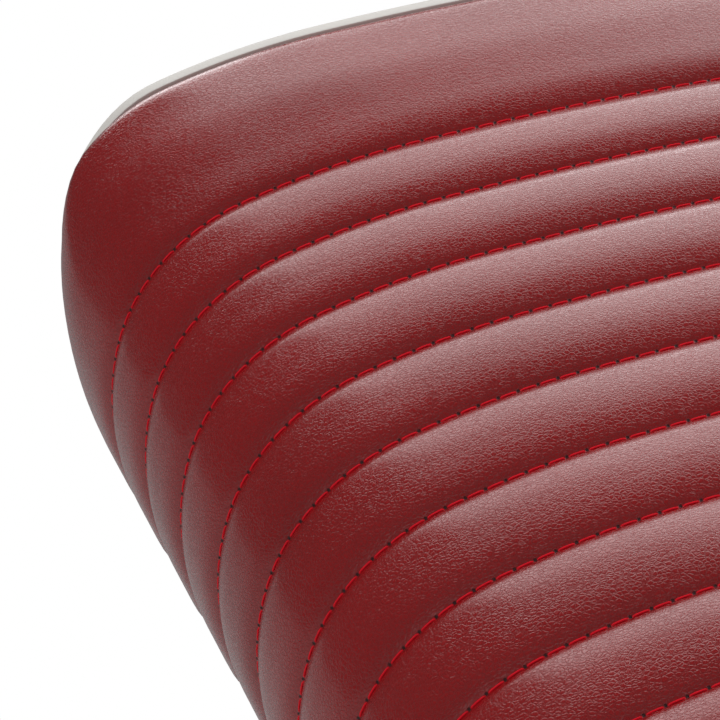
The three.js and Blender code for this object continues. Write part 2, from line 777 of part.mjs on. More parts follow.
// Each crank swings by the same amount to each side of plumb over its travel, so that its
// pin moves along Y almost evenly. A bar with upright slots joins the two pins.
const BACK_HALF_SWING = (BACK_TRAVEL / 2) * DEGREE;
const LEG_HALF_SWING = (LEG_TRAVEL / 2) * DEGREE;
const STROKE = 2 * BACK_CRANK * Math.sin(BACK_HALF_SWING);
const LEG_CRANK = STROKE / (2 * Math.sin(LEG_HALF_SWING));
const BACK_PIN_REACH = (BACK_CRANK * (1 - Math.cos(BACK_HALF_SWING))) / 2;
const LEG_PIN_REACH = (LEG_CRANK * (1 - Math.cos(LEG_HALF_SWING))) / 2;
const SLOT_RADIUS = CROSSBAR_RADIUS + 1.5;
const SLOT_END_REACH = BACK_PIN_REACH + SLOT_RADIUS + SLOT_WALL;
const SLOT_END_HALF = SLOT_RADIUS + 6;
const SLOT_Z = CUSHION_BOTTOM - PASSING_GAP - SLOT_END_REACH;
const BACK_AXIS_Z = SLOT_Z + BACK_CRANK - BACK_PIN_REACH;
const LEG_AXIS_Z = SLOT_Z + LEG_CRANK - LEG_PIN_REACH;
const BACK_PIN_Y = BACK_AXIS_Y - STROKE / 2;
const LEG_PIN_Y = LEG_AXIS_Y - STROKE / 2;

// A crank pin as [n, u] in a frame that leans back by the given angle.
function pinInLeaningFrame(crank, halfSwing, lean) {
  const y = -crank * Math.sin(halfSwing);
  const z = -crank * Math.cos(halfSwing);
  const angle = lean * DEGREE;
  return [-y * Math.cos(angle) + z * Math.sin(angle), y * Math.sin(angle) + z * Math.cos(angle)];
}

// A plate whose outline is given as [n, u] points of a leaning frame, with Y = -n and Z = u.
function leaningPlate(points, x, thickness) {
  const shape = new THREE.Shape(points.map(([n, u]) => new THREE.Vector2(-n, u)));
  return sidePlate(shape, x, thickness);
}

function discAt(n, u, radius, x, thickness) {
  const disc = barAlongX(radius, x - thickness / 2, x + thickness / 2, SMALL_SIDES);
  disc.translate(0, -n, u);
  return disc;
}

// A hinge bracket lies along the rail and then rises to its axle.
function hingeBracket(x, railY, elbowY, axisY, axisZ) {
  const low = RAIL_BOTTOM + RAIL_HEIGHT / 2;
  const narrow = 13;
  const foot = strapOutline([[elbowY, low, narrow], [railY, low, narrow]]);
  const riser = strapOutline([[elbowY, low, narrow], [axisY, axisZ, AXLE_RADIUS + 8]]);
  const bore = barAlongX(AXLE_RADIUS + GAP, x - 20, x + 20);
  bore.translate(0, axisY, axisZ);
  const plates = [foot, riser].map((outline) => sidePlate(outline, x, BRACKET_THICKNESS));
  return cut(join(...plates), bore);
}

function makeHingeBrackets() {
  const thickness = BRACKET_THICKNESS;
  const outside = RAIL_X + RAIL_WIDTH / 2 + GAP + thickness / 2;
  for (const [side, sign] of SIDES) {
    const x = sign * outside;
    const elbow = BACK_AXIS_Y - 8;
    const rear = hingeBracket(x, elbow - 60, elbow, BACK_AXIS_Y, BACK_AXIS_Z);
    add(chair, `back_hinge_bracket_${side}`, rear, STEEL);
    const knee = SEAT_FRONT - 8;
    const front = hingeBracket(x, knee + 80, knee, LEG_AXIS_Y, LEG_AXIS_Z);
    add(chair, `leg_hinge_bracket_${side}`, front, STEEL);
  }
  const reach = outside + thickness / 2 + 6;
  const recline = barAlongX(AXLE_RADIUS, -reach, reach);
  recline.translate(0, BACK_AXIS_Y, BACK_AXIS_Z);
  add(chair, 'recline_axle', recline, CHROME);
  const knee = barAlongX(AXLE_RADIUS, -reach, reach);
  knee.translate(0, LEG_AXIS_Y, LEG_AXIS_Z);
  add(chair, 'leg_axle', knee, CHROME);
}

function makeLinkage() {
  const barZ = RAIL_BOTTOM + LINK_RISE;
  const bar = block(
    [-LINK_BAR_THICKNESS / 2, LEG_PIN_Y, barZ - LINK_BAR_HEIGHT / 2],
    [LINK_BAR_THICKNESS / 2, BACK_PIN_Y, barZ + LINK_BAR_HEIGHT / 2],
  );
  const pieces = [BACK_PIN_Y, LEG_PIN_Y].map((y) =>
    block(
      [-LINK_BAR_THICKNESS / 2, y - SLOT_END_HALF, SLOT_Z - SLOT_END_REACH],
      [LINK_BAR_THICKNESS / 2, y + SLOT_END_HALF, SLOT_Z + SLOT_END_REACH],
    ),
  );
  const slots = [[BACK_PIN_Y, BACK_PIN_REACH], [LEG_PIN_Y, LEG_PIN_REACH]].map(([y, reach]) => {
    const outline = new THREE.Shape(slotHole(y, SLOT_Z, SLOT_RADIUS, reach + 1).getPoints(8));
    return sidePlate(outline, 0, 4 * LINK_BAR_THICKNESS);
  });
  add(chair, 'link_bar', cut(join(bar, ...pieces), ...slots), STEEL);

  const cylinderZ = TOP_PLATE_TOP + GAP + CYLINDER_RISE + CYLINDER_RADIUS;
  const front = BACK_PIN_Y - 60 - CYLINDER_LENGTH;
  const cylinderBody = barAlongY(CYLINDER_RADIUS, front, front + CYLINDER_LENGTH);
  const cylinderBore = barAlongY(ROD_RADIUS + RUNNING_GAP, front + 20, front + CYLINDER_LENGTH + 5);
  const cylinder = cut(cylinderBody, cylinderBore);
  cylinder.translate(CYLINDER_X, 0, cylinderZ);
  add(chair, 'recline_cylinder', cylinder, STEEL);

  const cradle = block(
    [CYLINDER_X - 20, -30, TOP_PLATE_TOP + GAP],
    [CYLINDER_X + 20, 30, cylinderZ - 2],
  );
  const seatCut = barAlongY(CYLINDER_RADIUS + GAP, -40, 40);
  seatCut.translate(CYLINDER_X, 0, cylinderZ);
  add(chair, 'cylinder_cradle', cut(cradle, seatCut), STEEL);

  const rod = barAlongY(ROD_RADIUS, front + 60, BACK_PIN_Y - SLOT_END_HALF + 4);
  rod.translate(CYLINDER_X, 0, cylinderZ);
  const eye = block(
    [CYLINDER_X - 5, BACK_PIN_Y - SLOT_END_HALF, SLOT_Z - SLOT_END_REACH],
    [CYLINDER_X + 5, BACK_PIN_Y + SLOT_END_HALF, SLOT_Z + SLOT_END_REACH],
  );
  const eyeOutline = new THREE.Shape(
    slotHole(BACK_PIN_Y, SLOT_Z, SLOT_RADIUS, BACK_PIN_REACH + 1).getPoints(8),
  );
  const eyeSlot = sidePlate(eyeOutline, CYLINDER_X, 4 * LINK_BAR_THICKNESS);
  add(chair, 'recline_rod', cut(join(rod, eye), eyeSlot), CHROME);
}

function makeReclineLever() {
  const coverInside = COVER_OUTSIDE - SIDE_COVER_THICKNESS;
  const pin = barAlongX(LEVER_PIN_RADIUS, coverInside, LEVER_OUTSIDE + PASSING_GAP);
  pin.translate(0, LEVER_AXIS_Y, LEVER_AXIS_Z);
  add(chair, 'recline_lever_pin', pin, CHROME);

  const x = LEVER_OUTSIDE - LEVER_THICKNESS / 2;
  const outline = strapOutline([
    [LEVER_AXIS_Y, LEVER_AXIS_Z, 14],
    [LEVER_AXIS_Y - LEVER_LENGTH, LEVER_AXIS_Z + LEVER_TIP_RISE, 8],
  ]);
  outline.holes.push(roundHole(LEVER_AXIS_Y, LEVER_AXIS_Z, LEVER_PIN_RADIUS + GAP));
  add(chair, 'recline_lever', sidePlate(outline, x, LEVER_THICKNESS), CHROME);
}

makeHingeBrackets();
makeLinkage();
makeReclineLever();

// ---------------------------------------------------------------- back

const BACK_LENGTH = BACK_BOTTOM_BAND + (BACK_LINES - 1) * BACK_CHANNEL + BACK_TOP_BAND;
const BACK_TOP_U = BACK_BOTTOM_U + BACK_LENGTH;
const BACK_REAR_N = BACK_FRONT_N - BACK_DEPTH;
const BOARD_REAR_N = BACK_REAR_N - GAP - BOARD_THICKNESS;
const SHELL_REAR_N = BOARD_REAR_N - SHELL_DEPTH;
const SHELL_TOP_U = BACK_TOP_U + GAP + SHELL_BAND;
const STEM_N = BOARD_REAR_N - GAP - SOCKET_WALL - RUNNING_GAP - STEM_THICKNESS / 2;
const SOCKET_TOP_U = BACK_TOP_U - 12;
const KNOB_U = SOCKET_TOP_U - SOCKET_HEIGHT / 2;

// From the middle outwards: the gently bowed front, the shoulder, the corner, and the
// flank, which wraps round behind the widest place.
const BACK_SECTION = [
  [1310, 5.8, 2],
  [306, 12.6, 2],
  [76, 58, 6],
  [110, 34.6, 3],
];

const back = new THREE.Group();
back.position.set(0, BACK_AXIS_Y, BACK_AXIS_Z);
back.rotation.x = -BACK_RECLINE * DEGREE;
chair.add(back);

// Turns a pad's axes (X, N out, U along) into a leaning frame's (X, Y = -N, Z = U).
function standUp(geometry, u, n) {
  geometry.rotateX(90 * DEGREE);
  geometry.translate(0, -n, u);
  return geometry;
}

function makeBackCushion() {
  const cushion = channelledPad({
    arcs: BACK_SECTION,
    depth: BACK_DEPTH,
    length: BACK_LENGTH,
    lines: stitchLines(BACK_BOTTOM_BAND, BACK_CHANNEL, BACK_LINES),
    startRadius: 14,
    endRadius: BACK_EDGE_RADIUS,
    rib: RIB_HEIGHT,
    band: 0.85,
  });
  add(back, 'back_cushion', standUp(cushion, BACK_BOTTOM_U, BACK_FRONT_N), LEATHER);

  const front = BACK_REAR_N - GAP;
  const board = block(
    [-BOARD_HALF_WIDTH, -front, BACK_BOTTOM_U + 14],
    [BOARD_HALF_WIDTH, -BOARD_REAR_N, BACK_TOP_U - 12],
  );
  add(back, 'back_board', board, WOOD);
}

// A plain panel outline as wide as twice `half`, its two upper corners rounded.
function panelOutline(half, low, high, corner) {
  const shape = new THREE.Shape();
  shape.moveTo(-half, low);
  shape.lineTo(half, low);
  shape.lineTo(half, high - corner);
  shape.absarc(half - corner, high - corner, corner, 0, Math.PI / 2, false);
  shape.absarc(corner - half, high - corner, corner, Math.PI / 2, Math.PI, false);
  shape.closePath();
  return shape;
}

// The shell is a tray behind the pad, and its top edge runs forward over the pad's end.
function makeBackShell() {
  const rimN = BACK_REAR_N - GAP;
  const depth = rimN - SHELL_REAR_N;
  const bottom = BACK_BOTTOM_U + 6;
  const outerShape = panelOutline(
    SHELL_HALF_WIDTH - SHELL_EDGE,
    bottom + SHELL_EDGE,
    SHELL_TOP_U - SHELL_EDGE,
    SHELL_CORNER,
  );
  const outer = new THREE.ExtrudeGeometry(outerShape, {
    depth: depth - SHELL_EDGE,
    bevelThickness: SHELL_EDGE,
    bevelSize: SHELL_EDGE,
    bevelSegments: 3,
    curveSegments: 6,
  });
  outer.rotateX(90 * DEGREE);
  outer.translate(0, -SHELL_REAR_N - SHELL_EDGE, 0);
  const frontTrim = block([-400, -rimN - 400, -100], [400, -rimN, SHELL_TOP_U + 100]);
  const pocketShape = panelOutline(
    SHELL_HALF_WIDTH - SHELL_WALL,
    bottom - 60,
    SHELL_TOP_U - SHELL_BAND,
    SHELL_CORNER - SHELL_WALL,
  );
  const pocket = new THREE.ExtrudeGeometry(pocketShape, {
    depth: depth - SHELL_WALL + 40,
    bevelEnabled: false,
    curveSegments: 6,
  });
  pocket.rotateX(90 * DEGREE);
  pocket.translate(0, -SHELL_REAR_N - SHELL_WALL, 0);
  const dish = cut(outer, frontTrim, pocket);

  const loop = sectionLoop(BACK_SECTION, BACK_DEPTH + SHELL_WALL, -SHELL_BAND_INSET);
  const band = new THREE.Shape(loop.map(([x, n]) => new THREE.Vector2(x, -n)));
  const cap = new THREE.ExtrudeGeometry(band, { depth: SHELL_BAND, bevelEnabled: false });
  cap.translate(0, -BACK_FRONT_N, SHELL_TOP_U - SHELL_BAND);

  const stemHalf = STEM_WIDTH / 2 + 1;
  const stemDepth = STEM_THICKNESS / 2 + 1;
  const stemSlot = block(
    [-stemHalf, -STEM_N - stemDepth, BACK_TOP_U - 20],
    [stemHalf, -STEM_N + stemDepth, SHELL_TOP_U + 20],
  );
  const screwHole = barAlongY(SCREW_RADIUS + 1.5, -SHELL_REAR_N - 20, -SHELL_REAR_N + 20);
  screwHole.translate(0, 0, KNOB_U);
  add(back, 'back_shell', cut(join(dish, cap), stemSlot, screwHole), SHELL_GREY);
}

function makeBackBrackets() {
  const [pinN, pinU] = pinInLeaningFrame(BACK_CRANK, BACK_HALF_SWING, BACK_RECLINE);
  const strapFront = BOARD_REAR_N - GAP;
  const strapRear = SHELL_REAR_N + SHELL_WALL + 2;
  const points = [
    [8, 18],
    [strapFront, 22],
    [strapFront, 190],
    [strapRear, 190],
    [strapRear, -8],
    [pinN - 10, pinU - 10],
    [pinN + 10, pinU - 4],
    [14, -10],
  ];
  for (const [side, sign] of SIDES) {
    const x = sign * BRACKET_X;
    const plate = join(
      leaningPlate(points, x, BRACKET_THICKNESS),
      discAt(0, 0, 20, x, BRACKET_THICKNESS),
      discAt(pinN, pinU, 14, x, BRACKET_THICKNESS),
    );
    const bracket = cut(
      plate,
      discAt(0, 0, AXLE_RADIUS + RUNNING_GAP, x, 3 * BRACKET_THICKNESS),
      discAt(pinN, pinU, CROSSBAR_RADIUS + GAP, x, 3 * BRACKET_THICKNESS),
    );
    add(back, `back_bracket_${side}`, bracket, STEEL);
  }
  const reach = BRACKET_X + BRACKET_THICKNESS;
  const crossbar = barAlongX(CROSSBAR_RADIUS, -reach, reach);
  crossbar.translate(0, -pinN, pinU);
  add(back, 'back_crossbar', crossbar, CHROME);
}

function makeRearHandle() {
  const u = BACK_TOP_U - HANDLE_BELOW_TOP;
  const foot = -SHELL_REAR_N + GAP;
  const far = -SHELL_REAR_N + HANDLE_STAND_OFF;
  const corners = [
    new THREE.Vector3(-HANDLE_HALF_WIDTH, foot, u),
    new THREE.Vector3(-HANDLE_HALF_WIDTH, far, u),
    new THREE.Vector3(HANDLE_HALF_WIDTH, far, u),
    new THREE.Vector3(HANDLE_HALF_WIDTH, foot, u),
  ];
  add(back, 'rear_handle', bentTube(corners, 24, HANDLE_RADIUS, 20), CHROME);
}

makeBackCushion();
makeBackShell();
makeBackBrackets();
makeRearHandle();

// ---------------------------------------------------------------- head rest

const HEAD_BOTTOM_U = SHELL_TOP_U + HEAD_CLEARANCE;
const HEAD_EYE_U = HEAD_BOTTOM_U + HEAD_EYE_RISE;
const HEAD_REAR_N = HEAD_FRONT_N - HEAD_THICKNESS;
const HEAD_SHELL_REAR_N = HEAD_REAR_N - GAP - HEAD_SHELL_THICKNESS;
const HEAD_EYE_N = HEAD_SHELL_REAR_N - 20;

function makeHeadPost() {
  const front = STEM_N + STEM_THICKNESS / 2;
  const rear = STEM_N - STEM_THICKNESS / 2;
  const foot = BACK_TOP_U - STEM_DEPTH - 20;
  const bendU = SHELL_TOP_U + STEM_RISE;
  const points = [
    [rear, foot],
    [front, foot],
    [front, bendU],
    [HEAD_EYE_N + 3, HEAD_EYE_U - 10],
    [HEAD_EYE_N - 4, HEAD_EYE_U + 10],
    [rear, bendU + 12],
  ].reverse();
  const eye = discAt(HEAD_EYE_N, HEAD_EYE_U, HEAD_EYE_RADIUS, 0, STEM_WIDTH);
  const eyeHole = discAt(HEAD_EYE_N, HEAD_EYE_U, HEAD_PIN_RADIUS + RUNNING_GAP, 0, 2 * STEM_WIDTH);
  const stem = cut(join(leaningPlate(points, 0, STEM_WIDTH), eye), eyeHole);
  add(back, 'headrest_stem', stem, CHROME);

  const socketRear = SHELL_REAR_N + SHELL_WALL + GAP;
  const socketFoot = SOCKET_TOP_U - SOCKET_HEIGHT;
  const socketBody = block(
    [-STEM_WIDTH / 2 - 8, -BOARD_REAR_N + GAP, socketFoot],
    [STEM_WIDTH / 2 + 8, -socketRear, SOCKET_TOP_U],
  );
  const channel = block(
    [-STEM_WIDTH / 2 - RUNNING_GAP, -front - RUNNING_GAP, socketFoot - 10],
    [STEM_WIDTH / 2 + RUNNING_GAP, -rear + RUNNING_GAP, SOCKET_TOP_U + 10],
  );
  const screwHole = barAlongY(SCREW_RADIUS + RUNNING_GAP, -rear - 2, -socketRear + 20);
  screwHole.translate(0, 0, KNOB_U);
  add(back, 'headrest_socket', cut(socketBody, channel, screwHole), STEEL);

  const screwTip = -rear + RUNNING_GAP;
  const knobFoot = -SHELL_REAR_N + GAP;
  const knob = turned([
    [0, screwTip],
    [SCREW_RADIUS, screwTip],
    [SCREW_RADIUS, knobFoot],
    [KNOB_RADIUS - 3, knobFoot],
    [KNOB_RADIUS, knobFoot + 4],
    [KNOB_RADIUS - 2, knobFoot + KNOB_LENGTH - 4],
    [KNOB_RADIUS - 6, knobFoot + KNOB_LENGTH],
    [0, knobFoot + KNOB_LENGTH],
  ], 28);
  knob.rotateX(-90 * DEGREE);
  knob.translate(0, 0, KNOB_U);
  add(back, 'headrest_knob', knob, PLASTIC);
}

function makeHead() {
  const pad = channelledPad({
    arcs: crownedArcs(HEAD_HALF_WIDTH - RIB_HEIGHT, 520, 24, 3, 4),
    depth: HEAD_THICKNESS,
    length: HEAD_LENGTH,
    lines: stitchLines(HEAD_LENGTH / 2 - BACK_CHANNEL / 2, BACK_CHANNEL, 2),
    startRadius: 16,
    endRadius: 16,
    rib: RIB_HEIGHT,
    band: 0.85,
  });
  add(back, 'headrest_pad', standUp(pad, HEAD_BOTTOM_U, HEAD_FRONT_N), LEATHER);

  const lugHalf = STEM_WIDTH / 2;
  const lugThickness = 6;
  const plate = block(
    [-HEAD_HALF_WIDTH + 16, -HEAD_REAR_N + GAP, HEAD_BOTTOM_U + 12],
    [HEAD_HALF_WIDTH - 16, -HEAD_SHELL_REAR_N, HEAD_BOTTOM_U + HEAD_LENGTH - 12],
  );
  const lugs = [-1, 1].flatMap((sign) => {
    const x = sign * (lugHalf + RUNNING_GAP + lugThickness / 2);
    const base = leaningPlate([
      [HEAD_SHELL_REAR_N + 4, HEAD_EYE_U + 20],
      [HEAD_EYE_N, HEAD_EYE_U + 10],
      [HEAD_EYE_N, HEAD_EYE_U - 10],
      [HEAD_SHELL_REAR_N + 4, HEAD_EYE_U - 20],
    ], x, lugThickness);
    return [base, discAt(HEAD_EYE_N, HEAD_EYE_U, HEAD_EYE_RADIUS, x, lugThickness)];
  });
  const pinHole = discAt(HEAD_EYE_N, HEAD_EYE_U, HEAD_PIN_RADIUS + GAP, 0, 4 * STEM_WIDTH);
  add(back, 'headrest_shell', cut(join(plate, ...lugs), pinHole), SHELL_GREY);

  const pinLength = 2 * (lugHalf + RUNNING_GAP + lugThickness + 2);
  const pin = discAt(HEAD_EYE_N, HEAD_EYE_U, HEAD_PIN_RADIUS, 0, pinLength);
  add(back, 'headrest_pin', pin, CHROME);
}

makeHeadPost();
makeHead();

// ---------------------------------------------------------------- leg rest

const leg = new THREE.Group();
leg.position.set(0, LEG_AXIS_Y, LEG_AXIS_Z);
leg.rotation.x = -(LEG_HANG + LEG_TRAVEL) * DEGREE;
chair.add(leg);

function makeLegRest() {
  const pad = channelledPad({
    arcs: crownedArcs(LEG_PAD_HALF_WIDTH - RIB_HEIGHT, 1400, 26, 2, 4),
    depth: LEG_PAD_THICKNESS,
    length: LEG_PAD_LENGTH,
    lines: stitchLines(LEG_PAD_BAND, BACK_CHANNEL, LEG_PAD_LINES),
    startRadius: 16,
    endRadius: 20,
    rib: RIB_HEIGHT,
    band: 0.85,
  });
  const padEnd = LEG_PAD_START + LEG_PAD_LENGTH;
  add(leg, 'leg_pad', standUp(pad, -padEnd, LEG_FRONT_N), LEATHER);

  const boardFront = LEG_FRONT_N - LEG_PAD_THICKNESS - GAP;
  const boardRear = boardFront - LEG_BOARD_THICKNESS;
  const board = block(
    [-LEG_PAD_HALF_WIDTH + 14, -boardFront, -padEnd + 10],
    [LEG_PAD_HALF_WIDTH - 14, -boardRear, -LEG_PAD_START - 10],
  );
  const [pinN, pinU] = pinInLeaningFrame(LEG_CRANK, LEG_HALF_SWING, LEG_HANG + LEG_TRAVEL);
  const notchHalf = LINK_BAR_THICKNESS / 2 + 2 * PASSING_GAP;
  const notchReach = Math.hypot(SLOT_END_REACH, SLOT_END_HALF) + LEG_PIN_REACH + PASSING_GAP;
  const notch = block(
    [-notchHalf, -boardFront - 5, pinU - notchReach],
    [notchHalf, -boardRear + 5, 0],
  );
  add(leg, 'leg_board', cut(board, notch), WOOD);

  const strapFront = boardRear - GAP;
  const strapRear = strapFront - 16;
  const points = [
    [12, -8],
    [strapFront, -14],
    [strapFront, -padEnd - 8],
    [FOOT_AXIS_N, -FOOT_V + 12],
    [FOOT_AXIS_N, -FOOT_V - 12],
    [strapRear, -FOOT_V - 12],
    [strapRear, pinU - 16],
    [pinN - 8, pinU - 10],
    [pinN - 8, pinU + 10],
    [strapRear, 6],
    [-6, 16],
    [12, 8],
  ];
  for (const [side, sign] of SIDES) {
    const x = sign * LEG_BRACKET_X;
    const plate = join(
      leaningPlate(points, x, BRACKET_THICKNESS),
      discAt(0, 0, 16, x, BRACKET_THICKNESS),
      discAt(pinN, pinU, 13, x, BRACKET_THICKNESS),
      discAt(FOOT_AXIS_N, -FOOT_V, 12, x, BRACKET_THICKNESS),
    );
    const bracket = cut(
      plate,
      discAt(0, 0, AXLE_RADIUS + RUNNING_GAP, x, 3 * BRACKET_THICKNESS),
      discAt(pinN, pinU, CROSSBAR_RADIUS + GAP, x, 3 * BRACKET_THICKNESS),
      discAt(FOOT_AXIS_N, -FOOT_V, FOOT_PIN_RADIUS + GAP, x, 3 * BRACKET_THICKNESS),
    );
    add(leg, `leg_bracket_${side}`, bracket, STEEL);
  }
  const reach = LEG_BRACKET_X + BRACKET_THICKNESS;
  const crossbar = barAlongX(CROSSBAR_RADIUS, -reach, reach);
  crossbar.translate(0, -pinN, pinU);
  add(leg, 'leg_crossbar', crossbar, CHROME);
  const footPin = barAlongX(FOOT_PIN_RADIUS, -reach, reach);
  footPin.translate(0, -FOOT_AXIS_N, -FOOT_V);
  add(leg, 'foot_pin', footPin, CHROME);
}

function makeFootPlate() {
  const half = FOOT_PLATE_HALF_WIDTH;
  const radius = FOOT_PIN_RADIUS + 4;
  const near = FOOT_AXIS_N + 4;
  const far = FOOT_AXIS_N + FOOT_PLATE_LENGTH;
  const middle = -FOOT_V;
  const plate = block(
    [-half, -far, middle - FOOT_PLATE_THICKNESS / 2],
    [half, -near, middle + FOOT_PLATE_THICKNESS / 2],
  );
  const knuckle = discAt(FOOT_AXIS_N, middle, radius, 0, 2 * half);
  const bore = discAt(FOOT_AXIS_N, middle, FOOT_PIN_RADIUS + RUNNING_GAP, 0, 3 * half);
  add(leg, 'foot_plate', cut(join(plate, knuckle), bore), CHROME);

  const treadFoot = middle + FOOT_PLATE_THICKNESS / 2 + GAP;
  const tread = block(
    [-half + 10, -far + 8, treadFoot],
    [half - 10, -near - 12, treadFoot + TREAD_THICKNESS],
  );
  add(leg, 'foot_tread', tread, RUBBER);
}

makeLegRest();
makeFootPlate();

export default chair;
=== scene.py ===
# %% [markdown]
# # A hydraulic barber chair in dark red channelled leather
# The construction comes packed from the CAD step: every frame, axle and plate at its real
# size, with its joints. This script dresses it. It sews the leather pads, moulds the shells,
# polishes the metal and sets up the studio. All lengths are metres and +Z is up.

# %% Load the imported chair
import json
import math

import bmesh
import bpy
import numpy as np
from mathutils import Matrix, Vector

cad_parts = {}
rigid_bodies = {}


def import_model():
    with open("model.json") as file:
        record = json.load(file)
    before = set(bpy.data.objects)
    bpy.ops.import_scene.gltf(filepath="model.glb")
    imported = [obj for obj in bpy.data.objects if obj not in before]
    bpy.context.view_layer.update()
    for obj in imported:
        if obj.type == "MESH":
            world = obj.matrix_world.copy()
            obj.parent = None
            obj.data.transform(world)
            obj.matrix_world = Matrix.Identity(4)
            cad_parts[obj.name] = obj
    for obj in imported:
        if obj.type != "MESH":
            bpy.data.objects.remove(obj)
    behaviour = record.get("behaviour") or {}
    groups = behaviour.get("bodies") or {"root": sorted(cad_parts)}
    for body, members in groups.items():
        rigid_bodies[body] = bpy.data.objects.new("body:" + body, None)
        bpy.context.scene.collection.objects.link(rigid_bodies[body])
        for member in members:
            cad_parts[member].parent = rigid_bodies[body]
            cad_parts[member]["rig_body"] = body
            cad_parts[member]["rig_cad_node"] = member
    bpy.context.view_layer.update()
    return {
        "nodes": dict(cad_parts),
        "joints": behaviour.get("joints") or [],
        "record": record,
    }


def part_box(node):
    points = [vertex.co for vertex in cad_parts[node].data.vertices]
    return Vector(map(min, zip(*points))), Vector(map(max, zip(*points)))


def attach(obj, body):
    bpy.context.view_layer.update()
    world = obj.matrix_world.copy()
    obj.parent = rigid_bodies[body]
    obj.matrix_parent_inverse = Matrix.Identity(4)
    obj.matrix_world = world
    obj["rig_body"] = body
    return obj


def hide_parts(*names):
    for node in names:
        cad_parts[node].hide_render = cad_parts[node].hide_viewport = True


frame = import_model()
nodes = frame["nodes"]
joints = {joint["name"]: joint for joint in frame["joints"]}
MM = 0.001
SIDES = (("left", -1), ("right", 1))

# %% [markdown]
# ## Leaning frames
# The back and the leg rest lean, so their pieces are easier to make in axes of their own: x
# across the chair, n out of the padded face, and u up along it. A leaning frame is one 4x4
# matrix that turns those axes into the chair's. Its origin is the hinge, read from the joint.

# %% Places and directions
BACK_RECLINE = 70  # degrees from upright, as photographed
LEG_RAISE = 68  # degrees forward of plumb


def leaning_frame(hinge, degrees):
    """The matrix from (x, n, u) to the chair's axes, for a panel that leans back by degrees."""
    lean = math.radians(degrees)
    across = Vector((1, 0, 0))
    out = Vector((0, -math.cos(lean), math.sin(lean)))
    up = Vector((0, math.sin(lean), math.cos(lean)))
    axes = Matrix((across, out, up)).transposed().to_4x4()
    return Matrix.Translation(hinge) @ axes


back_hinge = Vector(joints["back_recline"]["pos_m"])
knee = Vector(joints["leg_raise"]["pos_m"])
BACK = leaning_frame(back_hinge, BACK_RECLINE)
LEG = leaning_frame(knee, LEG_RAISE)
SEAT = leaning_frame(Vector((0, 0, 0)), 90)
print("back hinge", tuple(back_hinge), "knee", tuple(knee))

# %% [markdown]
# ## Shader maths as Python
# A material is a graph of nodes, and sums of nodes are hard to read as links. The class
# `Wire` wraps one socket and overloads the operators, so `1 - mask * 0.5` adds the Math nodes
# by itself. `Bench` is the sheet of nodes of one material, and adds any other node by name.

# %% A socket that can be added and multiplied
class Wire:
    """One output socket on a bench. Sums with it add Math nodes."""

    def __init__(self, bench, socket):
        self.bench = bench
        self.socket = socket

    def __add__(self, other):
        return self.bench.maths("ADD", self, other)

    def __radd__(self, other):
        return self.bench.maths("ADD", other, self)

    def __sub__(self, other):
        return self.bench.maths("SUBTRACT", self, other)

    def __rsub__(self, other):
        return self.bench.maths("SUBTRACT", other, self)

    def __mul__(self, other):
        return self.bench.maths("MULTIPLY", self, other)

    def __rmul__(self, other):
        return self.bench.maths("MULTIPLY", other, self)

    def __truediv__(self, other):
        return self.bench.maths("DIVIDE", self, other)

    def __abs__(self):
        return self.bench.maths("ABSOLUTE", self)

    def fraction(self):
        return self.bench.maths("FRACT", self)

    def at_most(self, other):
        return self.bench.maths("MINIMUM", self, other)

    def step_between(self, low, high):
        """0 below low, 1 above high, and smooth between them."""
        kind = {"interpolation_type": "SMOOTHSTEP"}
        links = {"Value": self, "From Min": low, "From Max": high}
        return self.bench.node("ShaderNodeMapRange", kind, links)


class Bench:
    """The nodes of one material or world."""

    def __init__(self, owner):
        owner.use_nodes = True
        self.tree = owner.node_tree
        self.tree.nodes.clear()

    def node(self, kind, settings=None, inputs=None, output=0):
        """Adds a node, sets its settings, feeds its inputs, and returns one output."""
        made = self.tree.nodes.new(kind)
        for name, value in (settings or {}).items():
            setattr(made, name, value)
        for name, value in (inputs or {}).items():
            socket = made.inputs[name]
            if isinstance(value, Wire):
                self.tree.links.new(value.socket, socket)
            else:
                socket.default_value = value
        return Wire(self, made.outputs[output]) if len(made.outputs) else made

    def maths(self, operation, *values):
        return self.node("ShaderNodeMath", {"operation": operation}, dict(enumerate(values)))

    def mix(self, share, first, second):
        """A colour between two, by share."""
        kind = {"data_type": "RGBA"}
        return self.node("ShaderNodeMix", kind, {0: share, 6: first, 7: second}, output=2)

    def vectors(self, operation, *values, output=0):
        kind = {"operation": operation}
        return self.node("ShaderNodeVectorMath", kind, dict(enumerate(values)), output)

    def attribute(self, name):
        """A number that the mesh keeps for each of its points."""
        return self.node("ShaderNodeAttribute", {"attribute_name": name}, output="Fac")

    def ray(self, kind):
        """1 for one kind of ray, and 0 for all others."""
        return self.node("ShaderNodeLightPath", output=f"Is {kind} Ray")

    def place(self):
        """Where the point is on its object, in metres."""
        return self.node("ShaderNodeTexCoord", output="Object")

    def noise(self, place, scale, detail=2.0, output="Fac"):
        inputs = {"Vector": place, "Scale": scale, "Detail": detail}
        return self.node("ShaderNodeTexNoise", None, inputs, output=output)

    def bump(self, height, distance, strength=1.0):
        inputs = {"Height": height, "Distance": distance, "Strength": strength}
        return self.node("ShaderNodeBump", None, inputs, output="Normal")

    def surface(self, **inputs):
        """Ends the bench in a Principled surface. A name's underscores stand for spaces."""
        named = {name.replace("_", " "): value for name, value in inputs.items()}
        shader = self.node("ShaderNodeBsdfPrincipled", None, named)
        self.node("ShaderNodeOutputMaterial", None, {"Surface": shader})


def srgb(red, green, blue):
    """A colour as seen on a screen, 0 to 255, as the linear colour that a shader needs."""
    shares = [value / 255 for value in (red, green, blue)]
    linear = [s / 12.92 if s < 0.04045 else ((s + 0.055) / 1.055) ** 2.4 for s in shares]
    return (*linear, 1.0)


